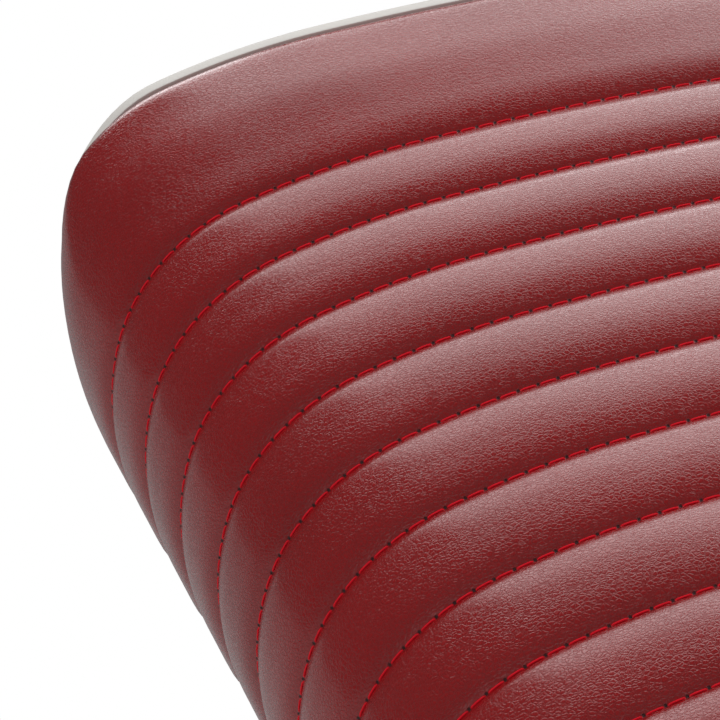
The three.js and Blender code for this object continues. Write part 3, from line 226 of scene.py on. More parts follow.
def new_bench(name):
    material = bpy.data.materials.new(name)
    return material, Bench(material)


print("shader bench ready")

# %% [markdown]
# ## Leather
# The covers are a coated red leather with a fine pebbled grain: short wrinkles about
# 1.4 mm apart that break up every highlight. Voronoi cells give the wrinkles, warped by a noise so
# that none is straight, and finer noise gives the pores. The creases between the wrinkles are
# darkened in the colour as painted shade. On the sewn pads two attributes tell the shader how
# far along a seam a point is and how far from it. That draws the needle holes, painted near-black
# as the shade inside them, a narrow strip by each seam darkened as painted shade, and the small
# pull of each stitch.

# %% Leather
LEATHER_RED = srgb(143, 11, 15)
# The deeper red is mixed in for the leather's own uneven tone, and as painted shade in the grain's
# creases and by the seams.
LEATHER_DEEP = srgb(112, 6, 9)
# Near-black painted shade inside the needle holes.
HOLE_SHADE_COLOUR = (0.035, 0.003, 0.004, 1)
STITCH_PITCH = 7.6 * MM
GRAIN_SCALE = 700  # cells per metre


def make_leather(name, sewn):
    material, bench = new_bench(name)
    place = bench.place()
    warp = bench.noise(place, 260, 2.0, output="Color")
    shift = bench.vectors("SUBTRACT", warp, (0.5, 0.5, 0.5))
    moved = bench.vectors("ADD", place, bench.vectors("MULTIPLY", shift, (0.0016,) * 3))
    stretched = bench.vectors("MULTIPLY", moved, (0.8, 1.0, 1.0))
    kind = {"feature": "DISTANCE_TO_EDGE"}
    cells = bench.node("ShaderNodeTexVoronoi", kind, {"Vector": stretched, "Scale": GRAIN_SCALE})
    crease = cells.step_between(0.0, 0.22)
    pores = bench.noise(place, 2600, 2.0)
    folds = bench.noise(place, 420, 3.0)
    tone = bench.noise(place, 14, 3.0)
    height = crease * 0.46 + pores * 0.25 + folds * 0.75
    # (1 - crease) darkens the grain's creases: painted shade. The tone term is the leather's own
    # uneven colour.
    dark = (1 - crease) * 0.3 + tone.step_between(0.35, 0.75) * 0.2
    roughness = 0.17 + (1 - crease) * 0.10 + tone * 0.06
    coat = crease * 0.42 + 0.43
    if sewn:
        along, away = bench.attribute("along_seam"), bench.attribute("from_seam")
        place_in_stitch = abs((along / STITCH_PITCH + 0.5).fraction() - 0.5)
        near = 1 - away.step_between(0.2 * MM, 3.4 * MM)
        beside = 1 - away.step_between(0.3 * MM, 0.9 * MM)
        # The needle holes are painted near-black below: painted shade in each hole.
        shaded_hole = place_in_stitch.step_between(0.41, 0.47) * beside
        pull = place_in_stitch.step_between(0.1, 0.5) * near
        height = height * (1 - near * 0.5) - pull * 0.8 - shaded_hole * 3
        # near darkens a narrow strip along each seam: painted shade in the seam's groove. The needle
        # holes get their painted shade here too.
        dark = (dark + near * 0.08 + shaded_hole).at_most(1.0)
        roughness = roughness + shaded_hole * 0.6 - near * 0.04
        coat = coat * (1 - shaded_hole * 0.8)
    colour = bench.mix(dark, LEATHER_RED, LEATHER_DEEP)
    if sewn:
        colour = bench.mix(shaded_hole, colour, HOLE_SHADE_COLOUR)
    normal = bench.bump(height, 0.2 * MM, 1.0)
    bench.surface(Base_Color=colour, Roughness=roughness, Normal=normal, Specular_IOR_Level=0.9,
                  Coat_Weight=coat, Coat_Roughness=0.17)
    return material


SEWN_LEATHER = make_leather("sewn_red_leather", sewn=True)
PLAIN_LEATHER = make_leather("plain_red_leather", sewn=False)
print("leather made")

# %% [markdown]
# ## Thread
# The thread is a bright red twisted polyester. A very fine noise makes its fibres.

# %% Thread
def make_thread():
    material, bench = new_bench("red_thread")
    fibres = bench.noise(bench.place(), 5200, 1.0)
    colour = bench.mix(fibres * 0.5, srgb(242, 10, 36), srgb(150, 4, 20))
    normal = bench.bump(fibres, 0.06 * MM)
    roughness = 0.55 + fibres * 0.2
    bench.surface(Base_Color=colour, Roughness=roughness, Normal=normal, Specular_IOR_Level=0.2)
    return material


THREAD = make_thread()
print("thread made")

# %% [markdown]
# ## Metal, rubber, wood and plastic
# Chrome is nearly a mirror, with faint smudges. The boards are birch plywood, whose plies show
# as stripes on its edges. The rest are plain coats, made alike: the shell's warm light grey
# with a faint spark texture, the frame's dark powder that dries like orange peel, dull
# speckled rubber, and satin plastic for the knob and plugs.

# %% Chrome
def make_chrome():
    material, bench = new_bench("chrome")
    place = bench.place()
    smudge = bench.noise(place, 22, 4.0).step_between(0.45, 0.8)
    hairline = bench.noise(bench.vectors("MULTIPLY", place, (60, 900, 900)), 1.0, 3.0)
    colour = bench.mix(smudge * 0.5, (0.80, 0.81, 0.82, 1), (0.70, 0.71, 0.73, 1))
    rough = 0.07 + smudge * 0.10 + hairline * 0.04
    normal = bench.bump(hairline, 0.001 * MM)
    bench.surface(Base_Color=colour, Metallic=0.9, Roughness=rough, Normal=normal)
    return material


CHROME = make_chrome()
print("chrome made")

# %% Plain coats
def make_coat(name, colours, grain, patches, edges, share, bump, rough):
    """A coat with a fine grain, and broad patches of a second colour.

    grain and patches are the scale and detail of a noise, and edges are where the patches
    begin and end. rough is the least roughness, then what the grain and the patches add.
    """
    material, bench = new_bench(name)
    place = bench.place()
    fine = bench.noise(place, *grain)
    broad = bench.noise(place, *patches)
    if edges:
        broad = broad.step_between(*edges)
    colour = bench.mix(broad * share, *(srgb(*shade) for shade in colours))
    normal = bench.bump(fine, bump * MM)
    roughness = rough[0] + fine * rough[1] + broad * rough[2]
    bench.surface(Base_Color=colour, Roughness=roughness, Normal=normal)
    return material


SHELL = make_coat("grey_shell", ((216, 213, 208), (206, 202, 196)), grain=(1500, 2.0),
                  patches=(7, 3.0), edges=None, share=0.35, bump=0.05, rough=(0.42, 0, 0.12))
POWDER_COAT = make_coat("dark_powder_coat", ((46, 48, 52), (82, 84, 88)), grain=(700, 2.0),
                        patches=(34, 6.0), edges=(0.62, 0.78), share=0.6, bump=0.06,
                        rough=(0.42, 0.12, 0.15))
RUBBER = make_coat("black_rubber", ((34, 34, 36), (74, 72, 70)), grain=(1300, 3.0),
                   patches=(16, 5.0), edges=(0.5, 0.85), share=0.5, bump=0.12, rough=(0.72, 0.2, 0))
PLASTIC = make_coat("black_plastic", ((30, 31, 33), (52, 53, 56)), grain=(1700, 2.0),
                    patches=(40, 4.0), edges=(0.4, 0.8), share=0.4, bump=0.03, rough=(0.30, 0, 0.15))
FINISHES = {"chrome": CHROME, "shell": SHELL, "steel": POWDER_COAT, "rubber": RUBBER,
            "plastic": PLASTIC}
print("coats made")

# %% Plywood
PLY_PAIRS = 3.34  # a light ply and a dark one, over the thickness of a board
FACE_PHASE = 0.42  # where in a pair the board's face lies: inside the light ply


def make_plywood(name, board, through):
    """Birch plywood for one board, whose two faces both lie inside a light ply."""
    depths = [vertex.co.dot(Vector(through)) for vertex in nodes[board].data.vertices]
    two_plies = (max(depths) - min(depths)) / PLY_PAIRS
    material, bench = new_bench(name)
    place = bench.place()
    wobble = (bench.noise(place, 90, 2.0) - 0.5) * (0.3 * MM)
    depth = bench.vectors("DOT_PRODUCT", place, through, output="Value")
    layer = ((depth + wobble - max(depths)) / two_plies + FACE_PHASE).fraction()
    glue = abs((layer * 2).fraction() - 0.5).step_between(0.43, 0.49)
    grain = bench.noise(bench.vectors("MULTIPLY", place, (14, 150, 150)), 1.0, 6.0)
    end_grain = bench.noise(place, 900, 2.0)
    shade = layer.step_between(0.48, 0.52)
    face = bench.mix(grain.step_between(0.3, 0.75), srgb(206, 172, 126), srgb(170, 130, 86))
    edge = bench.mix(end_grain * 0.6, srgb(186, 148, 102), srgb(132, 98, 64))
    colour = bench.mix(shade * 0.7, face, edge)
    colour = bench.mix(glue * 0.8, colour, srgb(92, 64, 40))
    normal = bench.bump(grain * 0.6 + end_grain * shade * 0.6, 0.12 * MM)
    bench.surface(Base_Color=colour, Roughness=0.55 + grain * 0.2, Normal=normal)
    return material


OUT_OF_BACK = tuple(BACK.to_3x3().col[1])
OUT_OF_LEG = tuple(LEG.to_3x3().col[1])
PLYWOODS = {
    "back_board": make_plywood("plywood_back", "back_board", OUT_OF_BACK),
    "leg_board": make_plywood("plywood_leg", "leg_board", OUT_OF_LEG),
    "seat_pan": make_plywood("plywood_seat", "seat_pan", (0, 0, 1)),
}
print("plywood made")

# %% [markdown]
# ## A sewn pad
# All the pads of this chair are made alike: a block of foam whose leather cover is sewn
# across into straight channels that run over the face and down both sides. A pad's mesh is
# a stack of loops. Each loop follows the cross section, and each stands more or less proud
# of the stitched surface, so the channels are real shape and not only a bump.

# %% The cross section, walked round at even steps
FACE_STEP = 6 * MM


def walk_section(arcs, depth, under_radius):
    """Half a section from its middle to its underside, as points, normals and distances.

    arcs are (radius, turn in degrees), and all meet smoothly. After the last one the
    section runs straight down, turns under with its own small radius, and stops.
    """
    heading = 0.0
    centre = Vector((0, -arcs[0][0]))
    radius = arcs[0][0]
    points, normals, distances = [Vector((0, 0))], [Vector((0, 1))], [0.0]

    def put(point, angle):
        distances.append(distances[-1] + (point - points[-1]).length)
        points.append(point)
        normals.append(Vector((math.sin(angle), math.cos(angle))))

    def turn_round(middle, bend, start, turn):
        steps = max(3, math.ceil(bend * turn / FACE_STEP), math.ceil(turn / 0.12))
        for step in range(1, steps + 1):
            angle = start + turn * step / steps
            put(middle + bend * Vector((math.sin(angle), math.cos(angle))), angle)

    for bend, degrees in arcs:
        centre += (radius - bend) * Vector((math.sin(heading), math.cos(heading)))
        radius = bend
        turn_round(centre, bend, heading, math.radians(degrees))
        heading += math.radians(degrees)
    low = -depth + under_radius * (1 + math.cos(heading))
    start = points[-1]
    drop = start.y - low
    down = Vector((1 / math.tan(heading), -1))
    steps = max(2, math.ceil(drop / FACE_STEP))
    for step in range(1, steps + 1):
        put(start + down * (drop * step / steps), heading)
    under = points[-1] - under_radius * Vector((math.sin(heading), math.cos(heading)))
    turn_round(under, under_radius, heading, math.pi - heading)
    return points, normals, distances


def full_section(arcs, depth):
    """The whole section as arrays, from the left underside over the top and back under."""
    points, normals, distances = walk_section(arcs, depth, min(9 * MM, depth / 4))
    flip = Vector((-1, 1))
    left = [(p * flip, n * flip, -d) for p, n, d in zip(points, normals, distances)][:0:-1]
    right = list(zip(points, normals, distances))
    top = left + right
    half = top[-1][0].x
    count = max(6, math.ceil(2 * half / (10 * MM)))
    under = []
    for step in range(1, count):
        x = half - 2 * half * step / count
        under.append((Vector((x, -depth)), Vector((0, -1)), top[-1][2]))
    rows = top + under
    place = np.array([tuple(row[0]) for row in rows])
    normal = np.array([tuple(row[1]) for row in rows])
    distance = np.array([row[2] for row in rows])
    return place, normal, distance, len(top)


print("section helpers ready")

# %% How proud the cover stands
CHANNEL = 42 * MM
CHANNEL_SHARES = (0.0, 0.018, 0.045, 0.08, 0.125, 0.19, 0.28, 0.39)  # of a channel, from its seam
RIB_FOOT_POWER, RIB_HEAD_POWER = 4.2, 2.6  # 2 is a plain arch, and more is flatter on top


def ease(share):
    """0 below 0, 1 above 1, and smooth between them."""
    share = np.clip(share, 0, 1)
    return share * share * (3 - 2 * share)


class Pad:
    """The sizes of one sewn pad. along runs from its first end, and lean is a normal's angle."""

    def __init__(self, name, arcs, depth, length, lines, rib, ends, **shape):
        self.name = name
        self.length = length
        self.lines = np.array(lines)
        self.rib = rib
        self.ends = ends
        self.flank = shape.get("flank", 0.35)  # the ribs' height on the sides, as a share
        self.corner = shape.get("corner")  # the last end's own rounding on the sides
        self.widening = shape.get("widening", 0.0)  # per metre along, from its middle
        self.domes = shape.get("domes", (4 * MM, 4 * MM))
        self.band = shape.get("band", (rib, rib * self.flank))  # the last band, on face and sides
        self.place, self.normal, self.distance, self.top = full_section(arcs, depth)
        self.lean = np.degrees(np.arccos(np.clip(self.normal[:, 1], -1, 1)))
        self.under = self.lean > sum(turn for _, turn in arcs) + 0.5
        self.edge = np.flatnonzero(~self.under)[-1]

    def rise(self, along):
        """How proud the cover stands between the seams, on the face and on the sides."""
        if not len(self.lines):
            return np.zeros(2)
        below, above = self.lines[self.lines <= along], self.lines[self.lines > along]
        half = CHANNEL / 2 if len(self.lines) < 2 else (self.lines[1] - self.lines[0]) / 2
        after = along - below[-1] if len(below) else self.length
        before = above[0] - along if len(above) else self.length
        power = RIB_FOOT_POWER if after < before else RIB_HEAD_POWER
        from_top = 1 - min(after, before, half) / half
        rib = self.rib * (1 - from_top ** power)
        extra = 0 if len(above) else ease((after - 6 * MM) / (50 * MM))
        face, side = self.band
        return np.array([rib + (face - self.rib) * extra,
                         rib * self.flank + (side - self.rib * self.flank) * extra])

    def tuck(self, along):
        """How far the cover is drawn in where its two ends turn down, for each column."""
        first, last = self.ends
        from_end = self.length - along
        drawn = np.full(len(self.lean), first * (1 - math.sqrt(1 - max(0, 1 - along / first) ** 2)))
        reach, depth = np.full(len(self.lean), last), np.full(len(self.lean), last)
        if self.corner:
            start, end = self.corner["from"], self.corner["to"]
            share = ease((self.lean - start) / (end - start))
            reach = last + (self.corner["reach"] - last) * share
            depth = last + (self.corner["depth"] - last) * share
        over = np.clip((reach - from_end) / reach, 0, 1)
        return drawn + depth * (1 - np.sqrt(1 - over ** 2))

    def loop(self, along):
        """One loop of the cover as points (x, n, u)."""
        face, side = self.rise(along)
        cover = face + (side - face) * ease((self.lean - 22) / 55)
        x, n = self.outline(along, cover - self.tuck(along))
        return np.column_stack([x, n, np.full(len(x), along)])

    def outline(self, along, proud):
        """The section at one place, moved out by proud, its underside kept flat on its board."""
        wide = 1 + self.widening * (along - self.length / 2)
        x = self.place[:, 0] * wide + self.normal[:, 0] * proud
        n = self.place[:, 1] + self.normal[:, 1] * proud
        under, edge = self.under, self.edge
        x[under] = self.place[under, 0] * x[edge] / self.place[edge, 0]
        n[under] = self.place[under, 1] + np.clip(-proud[under], 0, 4 * MM)
        return x, n

    def stations(self, spacing=5 * MM, shares=CHANNEL_SHARES):
        """The places of the loops, close together by the seams and over the rounded ends."""
        first, last = self.ends
        found = {0.0, self.length}
        for step in range(1, 9):
            down = 1 - math.cos(math.radians(90 * step / 8))
            found.update((first * down, self.length - last * down))
        marks = [first, *self.lines, self.length - last]
        for low, high in zip(marks, marks[1:]):
            if low in self.lines and high in self.lines:
                found.update(low + (high - low) * share for share in (*shares, 0.5))
                found.update(high - (high - low) * share for share in shares)
            else:
                count = max(2, round((high - low) / spacing))
                found.update(low + (high - low) * step / count for step in range(count + 1))
        for line in self.lines[[0, -1]] if len(self.lines) else ():
            found.update(line + side * away * MM for side in (-1, 1) for away in (0.8, 2, 4, 7))
        rows = sorted(round(place, 6) for place in found)
        return rows[:1] + [b for a, b in zip(rows, rows[1:]) if b - a > 0.15 * MM]


print("pad sizes ready")

# %% From loops to a closed mesh
END_SHARES = (0.97, 0.9, 0.78, 0.6, 0.4, 0.2)


def end_rings(loop, dome):
    """Rings from a loop in to its middle, bulging by dome along u, and the middle itself."""
    middle = loop.mean(axis=0)
    rings = []
    for share in END_SHARES:
        ring = middle + (loop - middle) * share
        ring[:, 2] = loop[:, 2] + dome * (1 - share ** 2)
        rings.append(ring)
    return rings, middle + (0, 0, dome)


def mesh_object(name, points, faces):
    mesh = bpy.data.meshes.new(name)
    mesh.from_pydata(np.asarray(points).tolist(), [], faces)
    made = bpy.data.objects.new(name, mesh)
    bpy.context.scene.collection.objects.link(made)
    return made


def loft(name, grid, domes):
    """A closed mesh over a grid of loops, its two ends filled by shrinking rings."""
    count = grid.shape[1]
    first, first_middle = end_rings(grid[0], -domes[0])
    last, last_middle = end_rings(grid[-1], domes[1])
    loops = [*first[::-1], *grid, *last]
    points = np.concatenate([*loops, [first_middle, last_middle]])
    faces = []
    for row in range(len(loops) - 1):
        for i in range(count):
            a, b = row * count + i, row * count + (i + 1) % count
            faces.append((a, b, b + count, a + count))
    far = (len(loops) - 1) * count
    for i in range(count):
        faces.append((i, len(points) - 2, (i + 1) % count))
        faces.append((far + i, far + (i + 1) % count, len(points) - 1))
    return mesh_object(name, points, faces)


def only(obj):
    """Selects one object and nothing else."""
    bpy.ops.object.select_all(action="DESELECT")
    obj.select_set(True)
    bpy.context.view_layer.objects.active = obj


def fresh(add, **settings):
    """Adds a primitive with one of Blender's operators, and returns it."""
    bpy.ops.object.select_all(action="DESELECT")
    add(**settings)
    return bpy.context.object


def edit_all():
    """Opens the active piece for editing, with all of it selected."""
    bpy.ops.object.mode_set(mode="EDIT")
    bpy.ops.mesh.select_all(action="SELECT")


def modify(obj, kind, **settings):
    """Adds a modifier, sets it up and applies it."""
    only(obj)
    modifier = obj.modifiers.new(kind.lower(), kind)
    for name, value in settings.items():
        setattr(modifier, name, value)
    bpy.ops.object.modifier_apply(modifier=modifier.name)


def face_outwards(obj):
    only(obj)
    edit_all()
    bpy.ops.mesh.normals_make_consistent(inside=False)
    bpy.ops.object.mode_set(mode="OBJECT")


def smooth(obj, degrees=180):
    """Shades a piece smooth up to an angle, with its flat faces kept flat beside rounded edges."""
    only(obj)
    bpy.ops.object.shade_smooth_by_angle(angle=math.radians(degrees))
    if degrees < 180:
        modify(obj, "WEIGHTED_NORMAL", keep_sharp=True)


print("loft ready")

# %% [markdown]
# ## Foam pushes the leather out
# The channels are drawn by the pad's own profile. Foam adds a last small swell between the
# seams, and cloth simulation finds it: a coarse cover is blown up by a gentle pressure while
# its seams and its underside are pinned. How far each point moved, up to a cap, is added to
# the fine cover, which keeps its crisp seams. That is about 0.1 mm or less on average on the
# sewn pads, and 0.5 mm on the arm pads.

# %% Blowing up a coarse cover
PUFF_SHARES = (0.0, 0.14, 0.32)
PUFF_FRAMES = 20


def puff(pad, pressure, most):
    """Where the coarse loops are, and how far each of their points moved."""
    rows = pad.stations(8 * MM, PUFF_SHARES)
    columns = np.arange(0, len(pad.place), 2)
    grid = np.array([pad.loop(row)[columns] for row in rows])
    cover = loft("puffed_cover", grid, (0, 0))
    face_outwards(cover)
    ends = len(END_SHARES) * len(columns)
    pinned = set(range(ends)) | set(range(ends + grid[..., 0].size, len(cover.data.vertices)))
    for index, row in enumerate(rows):
        held = len(pad.lines) and abs(pad.lines - row).min() < 0.1 * MM
        for i, column in enumerate(columns):
            if held or pad.lean[column] > 125:
                pinned.add(ends + index * len(columns) + i)
    group = cover.vertex_groups.new(name="sewn")
    group.add(sorted(pinned), 1.0, "REPLACE")
    cloth = cover.modifiers.new("cloth", "CLOTH")
    cloth.settings.vertex_group_mass = "sewn"
    cloth.settings.use_pressure = True
    cloth.settings.uniform_pressure_force = pressure
    cloth.settings.effector_weights.gravity = 0
    cloth.collision_settings.use_collision = False
    scene = bpy.context.scene
    for step in range(1, PUFF_FRAMES + 1):
        scene.frame_set(step)
    solved = cover.evaluated_get(bpy.context.evaluated_depsgraph_get())
    after = np.array([tuple(v.co) for v in solved.data.vertices])
    scene.frame_set(1)
    bpy.data.objects.remove(cover)
    moved = after[ends:ends + grid[..., 0].size].reshape(grid.shape) - grid
    size = np.linalg.norm(moved, axis=2, keepdims=True)
    moved *= most * np.tanh(size / most) / np.maximum(size, 1e-9)
    print(pad.name, "puffed by", round(1000 * float(size.mean()), 2), "mm on average")
    return rows, columns, moved


def spread_over(rows, columns, moved, fine_rows, count):
    """Carries the coarse cover's moves over to all points of the fine one."""
    closed = np.concatenate([moved, moved[:, :1]], axis=1)
    turn = np.append(columns, count)
    fine = np.empty((len(fine_rows), count, 3))
    for axis in range(3):
        across = np.array([np.interp(np.arange(count), turn, row) for row in closed[..., axis]])
        for i in range(count):
            fine[:, i, axis] = np.interp(fine_rows, rows, across[:, i])
    return fine


def sew_pad(pad, to_chair, pressure=4.0, most=2.5 * MM):
    """Makes a pad's cover, with the attributes that the leather needs, and turns it in place."""
    rows = pad.stations()
    grid = np.array([pad.loop(row) for row in rows])
    if pressure:
        grid = grid + spread_over(*puff(pad, pressure, most), rows, grid.shape[1])
    made = loft(pad.name, grid, pad.domes)
    count = grid.shape[1]
    loops = len(rows) + 2 * len(END_SHARES)
    from_seam = np.ones((loops, count))
    if len(pad.lines):
        away = [abs(pad.lines - row).min() for row in rows]
        from_seam[len(END_SHARES):-len(END_SHARES)] = np.array(away)[:, None]
    along_seam = np.tile(pad.distance, loops)
    for name, values in (("along_seam", along_seam), ("from_seam", from_seam.ravel())):
        attribute = made.data.attributes.new(name, "FLOAT", "POINT")
        attribute.data.foreach_set("value", np.append(values, (1, 1)).astype(np.float32))
    made.data.transform(to_chair)
    face_outwards(made)
    smooth(made)
    print(pad.name, len(made.data.polygons), "faces")
    return made


print("sewing ready")

# %% [markdown]
# ## Stitches
# A real stitch is a short bright length of thread that lies in the seam and dives into a
# hole at each end. One is drawn out of a six-sided circle, ring by ring. It is then copied
# along every seam, each copy turned to follow the section.

# %% One stitch, and a seam full of them
STITCH_RINGS = [(0.20, -3.4), (0.35, -3.2), (0.39, -2.5), (0.39, -1.3), (0.39, 0),
                (0.39, 1.3), (0.39, 2.5), (0.35, 3.2), (0.20, 3.4)]  # radius and place, in mm
STITCH_DIP = 0.9 * MM
THREAD_LIFT = 0.32 * MM


def draw_out(rings, sides, fill, extrude):
    """Draws a circle out along Z through rings of (radius, height) in mm, and stays in editing."""
    radius, height = rings[0]
    circle = bpy.ops.mesh.primitive_circle_add
    made = fresh(circle, vertices=sides, radius=radius * MM, fill_type=fill)
    edit_all()
    bpy.ops.transform.translate(value=(0, 0, height * MM))
    for here, there in zip(rings, rings[1:]):
        rise = (0, 0, (there[1] - here[1]) * MM)
        extrude(TRANSFORM_OT_translate={"value": rise})
        share = there[0] / here[0]
        bpy.ops.transform.resize(value=(share, share, 1), center_override=(0, 0, 0))
    return made


def shape_stitch():
    """One stitch along X, with its ends bent down into the leather."""
    stitch = draw_out(STITCH_RINGS, 6, "NGON", bpy.ops.mesh.extrude_region_move)
    bpy.ops.object.mode_set(mode="OBJECT")
    points = np.array([tuple(v.co) for v in stitch.data.vertices])[:, ::-1].copy()
    points[:, 2] -= STITCH_DIP * (points[:, 0] / points[:, 0].max()) ** 6
    faces = [tuple(f.vertices) for f in stitch.data.polygons]
    bpy.data.objects.remove(stitch)
    return points, faces


def stitch_pad(pad, to_chair, name):
    """Lays stitches along all the seams of a pad, as one object."""
    distance, place, normal = (a[:pad.top] for a in (pad.distance, pad.place, pad.normal))
    points, faces = shape_stitch()
    count = int((distance[-1] - 26 * MM) / STITCH_PITCH)
    at = np.arange(-count, count + 1) * STITCH_PITCH
    x, n = (np.interp(at, distance, place[:, i]) for i in (0, 1))
    out = np.column_stack([np.interp(at, distance, normal[:, i]) for i in (0, 1)])
    out /= np.linalg.norm(out, axis=1, keepdims=True)
    all_points, all_faces = [], []
    for line in pad.lines:
        wide = 1 + pad.widening * (line - pad.length / 2)
        for i in range(len(at)):
            ahead = np.array([out[i, 1], -out[i, 0]])
            lift = points[:, 2:] + THREAD_LIFT
            flat = (x[i] * wide, n[i]) + points[:, :1] * ahead + lift * out[i]
            offset = len(all_points) * len(points)
            all_points.append(np.column_stack([flat, points[:, 1] + line]))
            all_faces += [tuple(k + offset for k in face) for face in faces]
    made = mesh_object(name, np.concatenate(all_points), all_faces)
    made.data.transform(to_chair)
    face_outwards(made)
    smooth(made)
    print(name, len(all_points), "stitches")
    return made


print("stitch maker ready")

# %% Putting a finished piece on the chair
node_body = {}
for body, members in frame["record"]["behaviour"]["bodies"].items():
    node_body.update((member, body) for member in members)


def fit(piece, slot, *stands_for, body=None, material=None):
    """Gives a piece its finish and its body, and lets it stand for its CAD nodes."""
    piece.data.materials.clear()
    piece.data.materials.append(material or FINISHES[slot])
    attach(piece, body or node_body[stands_for[0]])
    if stands_for:
        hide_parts(*stands_for)
    return piece


def fit_pad(pad, to_chair, node, fill=0.9, **puffing):
    """Sews a pad and, where it has seams, its stitching."""
    cover = sew_pad(pad, to_chair, **puffing)
    leather = SEWN_LEATHER if len(pad.lines) else PLAIN_LEATHER
    fit(cover, "leather", node, material=leather)
    if len(pad.lines):
        thread = stitch_pad(pad, to_chair, f"{pad.name}_stitching")
        fit(thread, "leather", body=node_body[node], material=THREAD)


# %% [markdown]
# ## The back pad
# This is what the photograph shows. Its section is four arcs: the gently bowed face, the
# shoulder, the round corner and the flank, which wraps round behind the widest place. It
# grows a little wider upwards, and its two top corners are rounded off. Eleven seams leave
# a plain band at the top and a narrower one at the foot.

# %% The back pad and its stitching
BACK_SECTION = [(1.310, 5.8), (0.306, 12.6), (0.076, 58), (0.110, 34.6)]
BACK_FOOT_U = 30 * MM
BACK_FRONT_N = 45 * MM
BACK_LENGTH = 564 * MM
TOP_CORNER = {"from": 49, "to": 103, "reach": 99 * MM, "depth": 23.7 * MM}
back_lines = [48 * MM + CHANNEL * i for i in range(11)]
back_pad = Pad(
    "back_leather", BACK_SECTION, 162 * MM, BACK_LENGTH, back_lines, 3.7 * MM, (14 * MM, 15 * MM),
    flank=1.0, corner=TOP_CORNER, widening=0.095, domes=(5 * MM, 0), band=(7.0 * MM, 5.1 * MM),
)
ON_BACK = BACK @ Matrix.Translation((0, BACK_FRONT_N, BACK_FOOT_U))
fit_pad(back_pad, ON_BACK, "back_cushion", most=1.0 * MM)

# %% [markdown]
# ## The other pads
# The seat, the leg rest and the head rest are sewn like the back, on a plainer section: a
# shallow crown that ends in a round corner at each side. The arm pads have no seams.

# %% Seat, leg rest, head rest and arm pads
def crowned(half_width, crown, corner):
    """The arcs of a plain pad's section: a crown and a quarter-turned corner."""
    turn = math.degrees(math.asin((half_width - corner) / (crown - corner)))
    return [(crown, turn), (corner, 90 - turn)]


def seams(first, count):
    return [first * MM + CHANNEL * i for i in range(count)]


seat_pad = Pad("seat_leather", crowned(0.239, 1.5, 0.048), 112 * MM, 435 * MM, seams(52, 9),
               6.2 * MM, (30 * MM, 14 * MM), flank=0.45)
ON_SEAT = SEAT @ Matrix.Translation((0, 520.7 * MM, -275 * MM))
fit_pad(seat_pad, ON_SEAT, "seat_cushion")

leg_rest_pad = Pad("leg_rest_leather", crowned(0.166, 1.4, 0.026), 48 * MM, 250 * MM, seams(42, 5),
                   6 * MM, (16 * MM, 20 * MM), flank=0.4)
ON_LEG = LEG @ Matrix.Translation((0, 26 * MM, -272 * MM))
fit_pad(leg_rest_pad, ON_LEG, "leg_pad")

head_pad = Pad("headrest_leather", crowned(0.122, 0.52, 0.024), 56 * MM, 138 * MM, seams(48, 2),
               6 * MM, (16 * MM, 16 * MM), flank=0.4)
ON_HEAD = BACK @ Matrix.Translation((0, 58 * MM, 719.8 * MM))
fit_pad(head_pad, ON_HEAD, "headrest_pad")

ARM_X = 286 * MM
for side, sign in SIDES:
    arm_pad = Pad(f"arm_leather_{side}", crowned(0.032, 0.16, 0.014), 32 * MM, 330 * MM, [],
                  0, (13 * MM, 13 * MM))
    on_arm = SEAT @ Matrix.Translation((sign * ARM_X, 668 * MM, -254 * MM))
    fit_pad(arm_pad, on_arm, f"arm_pad_{side}", most=1.5 * MM)

# %% [markdown]
# ## Tools for hard pieces
# Three ways make nearly all the metal. A turned piece starts as one circle, which is
# extruded and resized along its outline. A hoop is a circle extruded up, spun round a bend,
# and so on. A plate already has its shape in the CAD node, so a copy of that is merged, and a
# Bevel rounds its edges, which then catch the light.

# %% Turned pieces
def bevel(obj, width, segments=2, degrees=32):
    """Rounds the edges that are sharper than degrees."""
    modify(obj, "BEVEL", width=width * MM, segments=segments, limit_method="ANGLE",
           angle_limit=math.radians(degrees))


def close_up(made, place, fill=True):
    """Merges the seams of the piece in editing, fills its open ends, and puts it in its place."""
    bpy.ops.mesh.select_all(action="SELECT")
    bpy.ops.mesh.remove_doubles(threshold=1e-6)
    if fill:
        bpy.ops.mesh.fill_holes(sides=0)
    bpy.ops.object.mode_set(mode="OBJECT")
    made.data.transform(place)
    face_outwards(made)


def turned(name, outline, sides=96, solid=False, soft=0.0, place=Matrix()):
    """Turns an outline of (radius, height) in millimetres round the Z axis, ring by ring."""
    rings = outline if solid else [*outline, outline[0]]
    made = draw_out(rings, sides, "NOTHING", bpy.ops.mesh.extrude_edges_move)
    made.name = name
    close_up(made, place, fill=solid)
    if soft:
        bevel(made, soft)
    smooth(made, 40)
    return made


def lying(axis, middle):
    """The matrix that lays a turned piece along an axis, with its start at middle."""
    turns = {"X": ("Y", 90), "Y": ("X", -90), "Z": ("Z", 0)}
    about, degrees = turns[axis]
    return Matrix.Translation(middle) @ Matrix.Rotation(math.radians(degrees), 4, about)


def round_bar(node, axis, sides=40, soft=0.8):
    """A finer round bar in the place of a CAD node that is one."""
    low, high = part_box(node)
    size, middle = high - low, (low + high) / 2
    index = "XYZ".index(axis)
    half = size[index] / 2 / MM
    radius = max(size[i] for i in range(3) if i != index) / 2 / MM
    outline = [(radius, -half), (radius, half)]
    return turned(f"{node}_bar", outline, sides, solid=True, soft=soft, place=lying(axis, middle))


def joined(first, *others):
    """Makes one object of several."""
    bpy.ops.object.select_all(action="DESELECT")
    for obj in (first, *others):
        obj.select_set(True)
    bpy.context.view_layer.objects.active = first
    bpy.ops.object.join()
    return first


print("turning tools ready")

